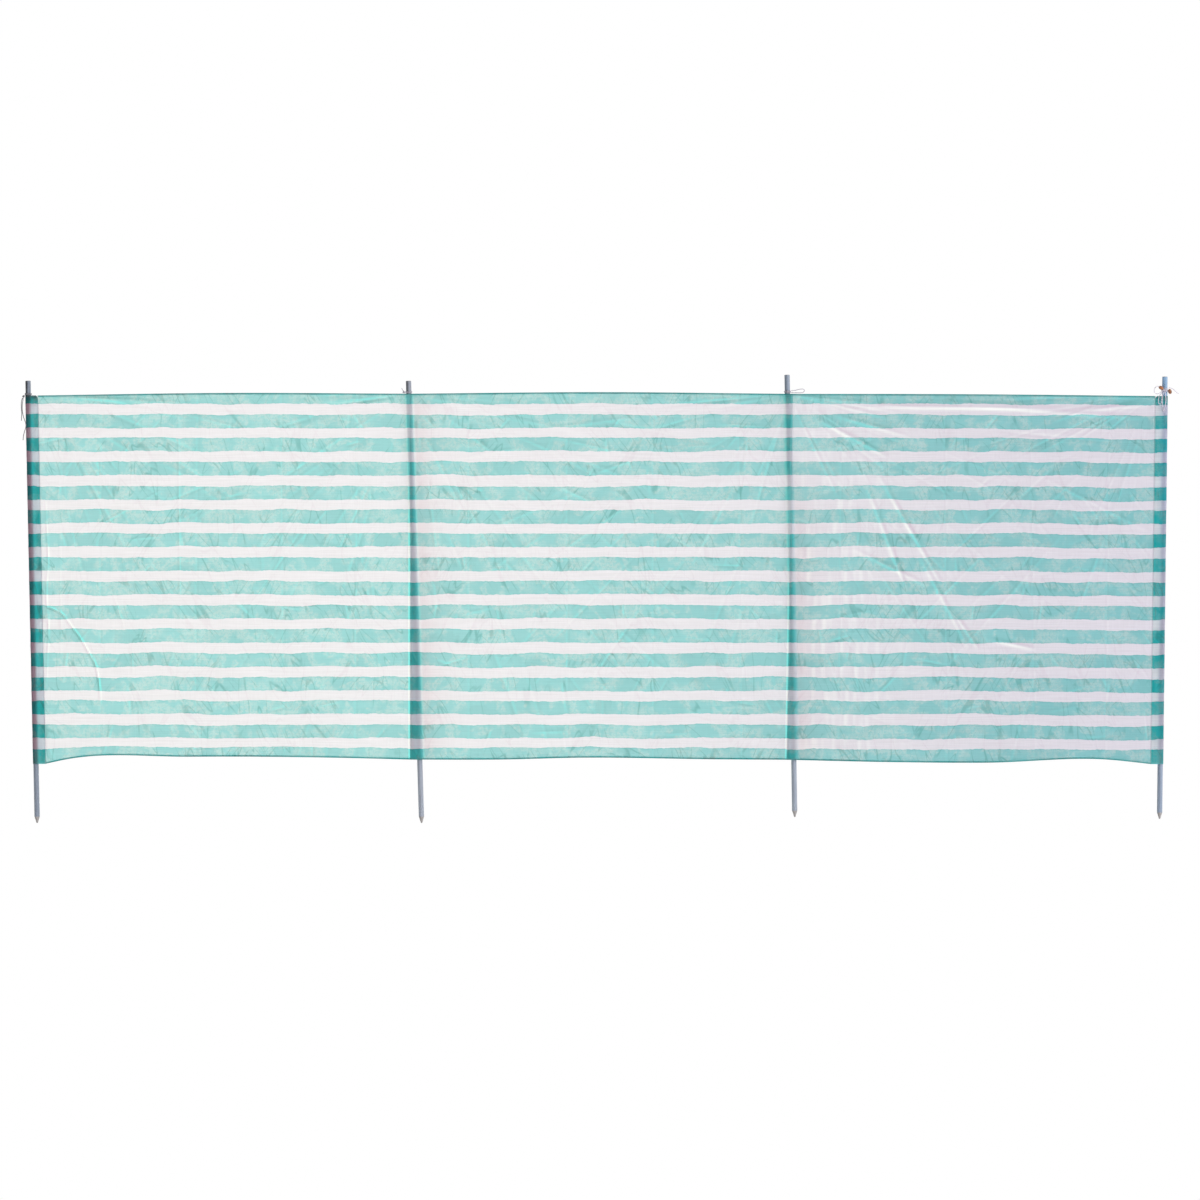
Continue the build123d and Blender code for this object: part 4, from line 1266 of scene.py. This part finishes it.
def teardrop(pole, height, share, tuck):
    """A point of the loop round a pole: share runs from just past the stitch line, round, and back."""
    seam, axis = seam_x(pole, height), pole_x(pole, height)
    aim = atan2(SEAM_DEPTH + 0.0006, seam - axis)
    tip = hypot(seam - axis, SEAM_DEPTH + 0.0006) + tuck
    half = acos(POCKET_RADIUS / tip)
    straight = sqrt(tip * tip - POCKET_RADIUS**2)
    around = 2 * (pi - half) * POCKET_RADIUS
    travelled = share * (2 * straight + around)

    def at(angle, distance):
        return Vector((axis + distance * cos(angle), distance * sin(angle), height))

    first, last = at(aim, tip), at(aim - half, POCKET_RADIUS)
    if travelled < straight:
        return first.lerp(last, travelled / straight)
    if travelled < straight + around:
        return at(aim - half - (travelled - straight) / POCKET_RADIUS, POCKET_RADIUS)
    return at(aim + half, POCKET_RADIUS).lerp(first, (travelled - straight - around) / straight)


# How much painted shade darkens the top of each sleeve where the tie gathers it, how much painted shade lies
# over its pole, and how much painted gleam lies beside it
TIE_SHADE = (1.0, 0.7, 0.7, 0.5)
SHADING = (0.68, 0.40, 0.40, 0.08)
GLEAM = (0.0, 0.0, 0.0, 0.8)


class WINDBREAK_OT_pockets(bpy.types.Operator):
    """Wraps a sleeve of cloth round each pole from its stitch line, with small creases and marks of painted light and
    shade.
    """

    bl_idname = "windbreak.pockets"
    bl_label = "Build Pole Pockets"

    def execute(self, context):
        material = cloth_material("Doubled Cloth")
        around, rows, past_edge = 56, 196, 0.0005
        for pole in POLES:
            low, high = BOTTOM[pole] - past_edge, TOP[pole] + past_edge
            grid = np.zeros((rows + 1, around + 1, 3))
            for r in range(rows + 1):
                height = low + (high - low) * r / rows
                end_pole = pole in (POLES[0], POLES[-1])
                tuck = POCKET_TUCK * end_pole - 0.007 * end_pole * exp((height - high) / 0.005)
                for c in range(around + 1):
                    share = c / around
                    place = teardrop(pole, height, share, tuck)
                    axis = Vector((pole_x(pole, height), 0.0, height))
                    out = (place - axis).normalized()
                    rough = noise.noise(Vector((place.x * 60, place.y * 60 + pole, height * 22)))
                    fine = noise.noise(Vector((place.x * 160, place.y * 160, height * 70 + pole)))
                    lift = 0.0004 + 0.0004 * rough + 0.0002 * fine
                    grid[r, c] = place + out * max(0.0, lift) * sin(pi * share)
            x, z = grid[..., 0], grid[..., 2]
            share = np.linspace(0, 1, around + 1)[None, :] + 0 * x
            loops = np.linalg.norm(np.diff(grid, axis=1), axis=2).sum(axis=1)
            seam = np.minimum(share, 1 - share) * loops[:, None]
            uneven = soft_noise(x * 0 + share * 0.3, z, 0.03, 4.0 + pole, 2.0)
            # Painted shade at the top of the sleeve, where the tie gathers it
            tie_shade = np.exp((z - high) / 0.010) * TIE_SHADE[pole]
            layers = 0.8 + 0.2 * np.clip((0.011 - seam) / 0.004, 0, 1)
            off = (x - pole_x(pole, z)) * np.sign(seam_x(pole, z) - pole_x(pole, z))
            # Painted shade over the pole; beside the seam a deeper light through the cloth, partly the seam
            # allowance's extra cloth and partly painted shade; and on the last sleeve a painted gleam beside the pole
            shade = SHADING[pole] * np.clip((0.011 - off) / 0.007, 0, 1) + 0.9 * tie_shade
            beside_seam = 0.75 * SHADING[pole] * np.exp(-(((off - 0.025) / 0.007) ** 2))
            marks = {
                "crease": 0.2 * uneven - tie_shade - beside_seam,
                "streak": 0.3 * uneven - tie_shade + GLEAM[pole] * np.clip((off - 0.006) / 0.006, 0, 1),
                "seam": seam,
                "hem": np.minimum(z - low, high - z),
                "layers": layers,
                "shade": np.clip(shade, 0, 1),
            }
            print_at = print_place(x, z, BOTTOM[pole] + 0 * x)
            piece = grid_mesh(f"pocket_sleeve_{pole + 1}", grid, print_at, marks, flip=True)
            finish_piece(piece, material, "striped_cloth", f"pocket_{pole + 1}")
        return {"FINISHED"}


# How far back, and how far in from the edge, the cloth lies as it turns over, and where it ends
TURNED_EDGE = ((-0.0002, 0.0012), (0.0, 0.0), (0.0007, -0.0003), (0.0014, 0.0))
TURNED_BACK = 0.0015


class WINDBREAK_OT_hems(bpy.types.Operator):
    """Turns the top and bottom edges of each bay over to the back, with painted shade along them."""

    bl_idname = "windbreak.hems"
    bl_label = "Build Hems"

    def execute(self, context):
        settings = context.scene.windbreak_cloth
        material = cloth_material("Doubled Cloth")
        columns = 300
        for bay in BAYS:
            for top in (True, False):
                points = edge_points(bay, top)
                left, right = points[0][0], points[-1][0]
                x = np.linspace(left, right, columns + 1)
                z = smooth_line(points, x)
                u = (x - left) / (right - left)
                y = SEAM_DEPTH - 4 * belly(settings, z) * u * (1 - u)
                way = -1 if top else 1
                turned = (*TURNED_EDGE, (TURNED_BACK, settings.hem_width))
                grid = np.array([np.stack([x, y + back, z + way * drop], axis=-1) for back, drop in turned])
                side = "top" if top else "bottom"
                bottom = smooth_line(edge_points(bay, False), grid[..., 0])
                print_at = print_place(grid[..., 0], grid[..., 2], bottom)
                away = 1 + 0 * grid[..., 0]
                # Painted shade deepens the light through the ink all along the hem strip
                marks = {
                    "crease": -0.6 * away,
                    "streak": 0 * away,
                    "seam": away,
                    "hem": abs(grid[..., 2] - z),
                    "layers": away,
                    "shade": 0 * away,
                }
                piece = grid_mesh(f"hem_{side}_{bay + 1}", grid, print_at, marks, flip=not top)
                finish_piece(piece, material, "striped_cloth", f"{side}_hem_{bay + 1}")
        return {"FINISHED"}


class WINDBREAK_OT_poles(bpy.types.Operator):
    """Paints the four turned poles and leaves their points and tops bare."""

    bl_idname = "windbreak.poles"
    bl_label = "Finish Poles"

    def execute(self, context):
        settings = context.scene.windbreak_poles
        for pole in POLES:
            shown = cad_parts[f"pole_{pole + 1}"]
            shown.data.materials.clear()
            shown.data.materials.append(make_pole_material(pole, settings))
            pick(shown)
            bpy.ops.object.shade_smooth_by_angle(angle=radians(30))
        return {"FINISHED"}


class WINDBREAK_OT_stage(bpy.types.Operator):
    """Sets the camera, the pale floor and the soft lights."""

    bl_idname = "windbreak.stage"
    bl_label = "Build Stage"

    def execute(self, context):
        settings = context.scene.windbreak_stage
        scene = context.scene
        deselect()
        bpy.ops.object.camera_add(
            location=(settings.aim_x, -settings.distance, settings.aim_z), rotation=(radians(90), 0.0, 0.0)
        )
        camera = bpy.context.active_object
        camera.name = "camera"
        camera.data.sensor_width = 36.0
        camera.data.lens = 36.0 * settings.distance / settings.frame_width
        camera.data.clip_end = 100.0
        scene.camera = camera

        deselect()
        bpy.ops.mesh.primitive_plane_add(size=80.0, location=(settings.aim_x, 0.0, -0.0005))
        floor = bpy.context.active_object
        floor.name = "floor"
        floor.data.materials.append(make_floor_material())

        world = bpy.data.worlds.new("white room")
        world.use_nodes = True
        tree = world.node_tree
        room = tree.nodes["Background"]
        way = tree.nodes.new("ShaderNodeTexCoord").outputs["Generated"]
        parts = node(tree, "ShaderNodeSeparateXYZ", None, {0: way})
        left = spread(tree, parts.outputs[0], -0.625, 0.0, 0.0, settings.room_light, smooth=False)
        right = spread(tree, parts.outputs[0], 0.3, 1.0, 1.0, 0.3, smooth=False)
        rear = spread(tree, parts.outputs[1], -1.0, 1.0, 0.73, 1.27, smooth=False)
        seen = tree.nodes.new("ShaderNodeLightPath").outputs["Is Camera Ray"]
        level = sums(tree, "MULTIPLY", sums(tree, "MULTIPLY", left, right), rear)
        level = spread(tree, seen, 0.0, 1.0, level, 1.0, smooth=False)
        tree.links.new(grey(tree, level), room.inputs["Color"])
        scene.world = world
        scene.view_settings.view_transform = "Standard"

        lights = (
            ("back light", "SPOT", (0.55, 5.2, 0.6), (0.55, 0.0, 0.65), settings.back_light, (0.90, 1.0, 0.70)),
            ("side light", "AREA", (7.6, -1.9, 1.9), (2.9, 0.0, 0.8), settings.key_light, (1.0, 1.0, 1.0)),
        )
        for name, kind, place, aim, power, colour in lights:
            deselect()
            bpy.ops.object.light_add(type=kind, location=place)
            light = bpy.context.active_object
            light.name = name
            light.rotation_euler = (Vector(aim) - Vector(place)).to_track_quat("-Z", "Y").to_euler()
            light.data.energy = power
            light.data.color = colour
            light.visible_camera = False
            if kind == "SPOT":
                light.data.spot_size = radians(64)
                light.data.spot_blend = 1.0
                light.data.shadow_soft_size = 0.45
            else:
                light.data.size = 1.2
        return {"FINISHED"}


TIE_OPERATORS = (WINDBREAK_OT_lashings, WINDBREAK_OT_knots, WINDBREAK_OT_beads, WINDBREAK_OT_cords)


class WINDBREAK_PT_panel(bpy.types.Panel):
    bl_idname = "WINDBREAK_PT_panel"
    bl_label = "Windbreak"
    bl_space_type = "VIEW_3D"
    bl_region_type = "UI"
    bl_category = "Windbreak"

    def draw(self, context):
        scene = context.scene
        for settings, operators in (
            (scene.windbreak_stage, (WINDBREAK_OT_stage,)),
            (scene.windbreak_poles, (WINDBREAK_OT_poles,)),
            (scene.windbreak_cloth, (WINDBREAK_OT_pockets, WINDBREAK_OT_hems, WINDBREAK_OT_bays)),
            (scene.windbreak_ties, TIE_OPERATORS),
        ):
            box = self.layout.box()
            for name in settings.bl_rna.properties.keys():
                if name not in ("rna_type", "name"):
                    box.prop(settings, name)
            for operator in operators:
                box.operator(operator.bl_idname)


CLASSES = (
    ClothSettings,
    PoleSettings,
    TieSettings,
    StageSettings,
    WINDBREAK_OT_stage,
    WINDBREAK_OT_poles,
    WINDBREAK_OT_pockets,
    WINDBREAK_OT_hems,
    WINDBREAK_OT_bays,
    *TIE_OPERATORS,
    WINDBREAK_PT_panel,
)


def register():
    for item in CLASSES:
        bpy.utils.register_class(item)
    bpy.types.Scene.windbreak_cloth = bpy.props.PointerProperty(type=ClothSettings)
    bpy.types.Scene.windbreak_poles = bpy.props.PointerProperty(type=PoleSettings)
    bpy.types.Scene.windbreak_ties = bpy.props.PointerProperty(type=TieSettings)
    bpy.types.Scene.windbreak_stage = bpy.props.PointerProperty(type=StageSettings)


def unregister():
    for name in ("windbreak_cloth", "windbreak_poles", "windbreak_ties", "windbreak_stage"):
        delattr(bpy.types.Scene, name)
    for item in reversed(CLASSES):
        bpy.utils.unregister_class(item)


def main():
    register()
    make_stripe_group()
    make_weave_group()
    make_crumple_group()
    make_stitch_group()
    make_print_group(bpy.context.scene.windbreak_cloth)
    make_wood_group()
    bpy.ops.windbreak.stage()
    bpy.ops.windbreak.poles()
    bpy.ops.windbreak.pockets()
    bpy.ops.windbreak.hems()
    bpy.ops.windbreak.bays()
    bpy.ops.windbreak.lashings()
    bpy.ops.windbreak.knots()
    bpy.ops.windbreak.beads()
    bpy.ops.windbreak.cords()


if __name__ == "__main__":
    main()
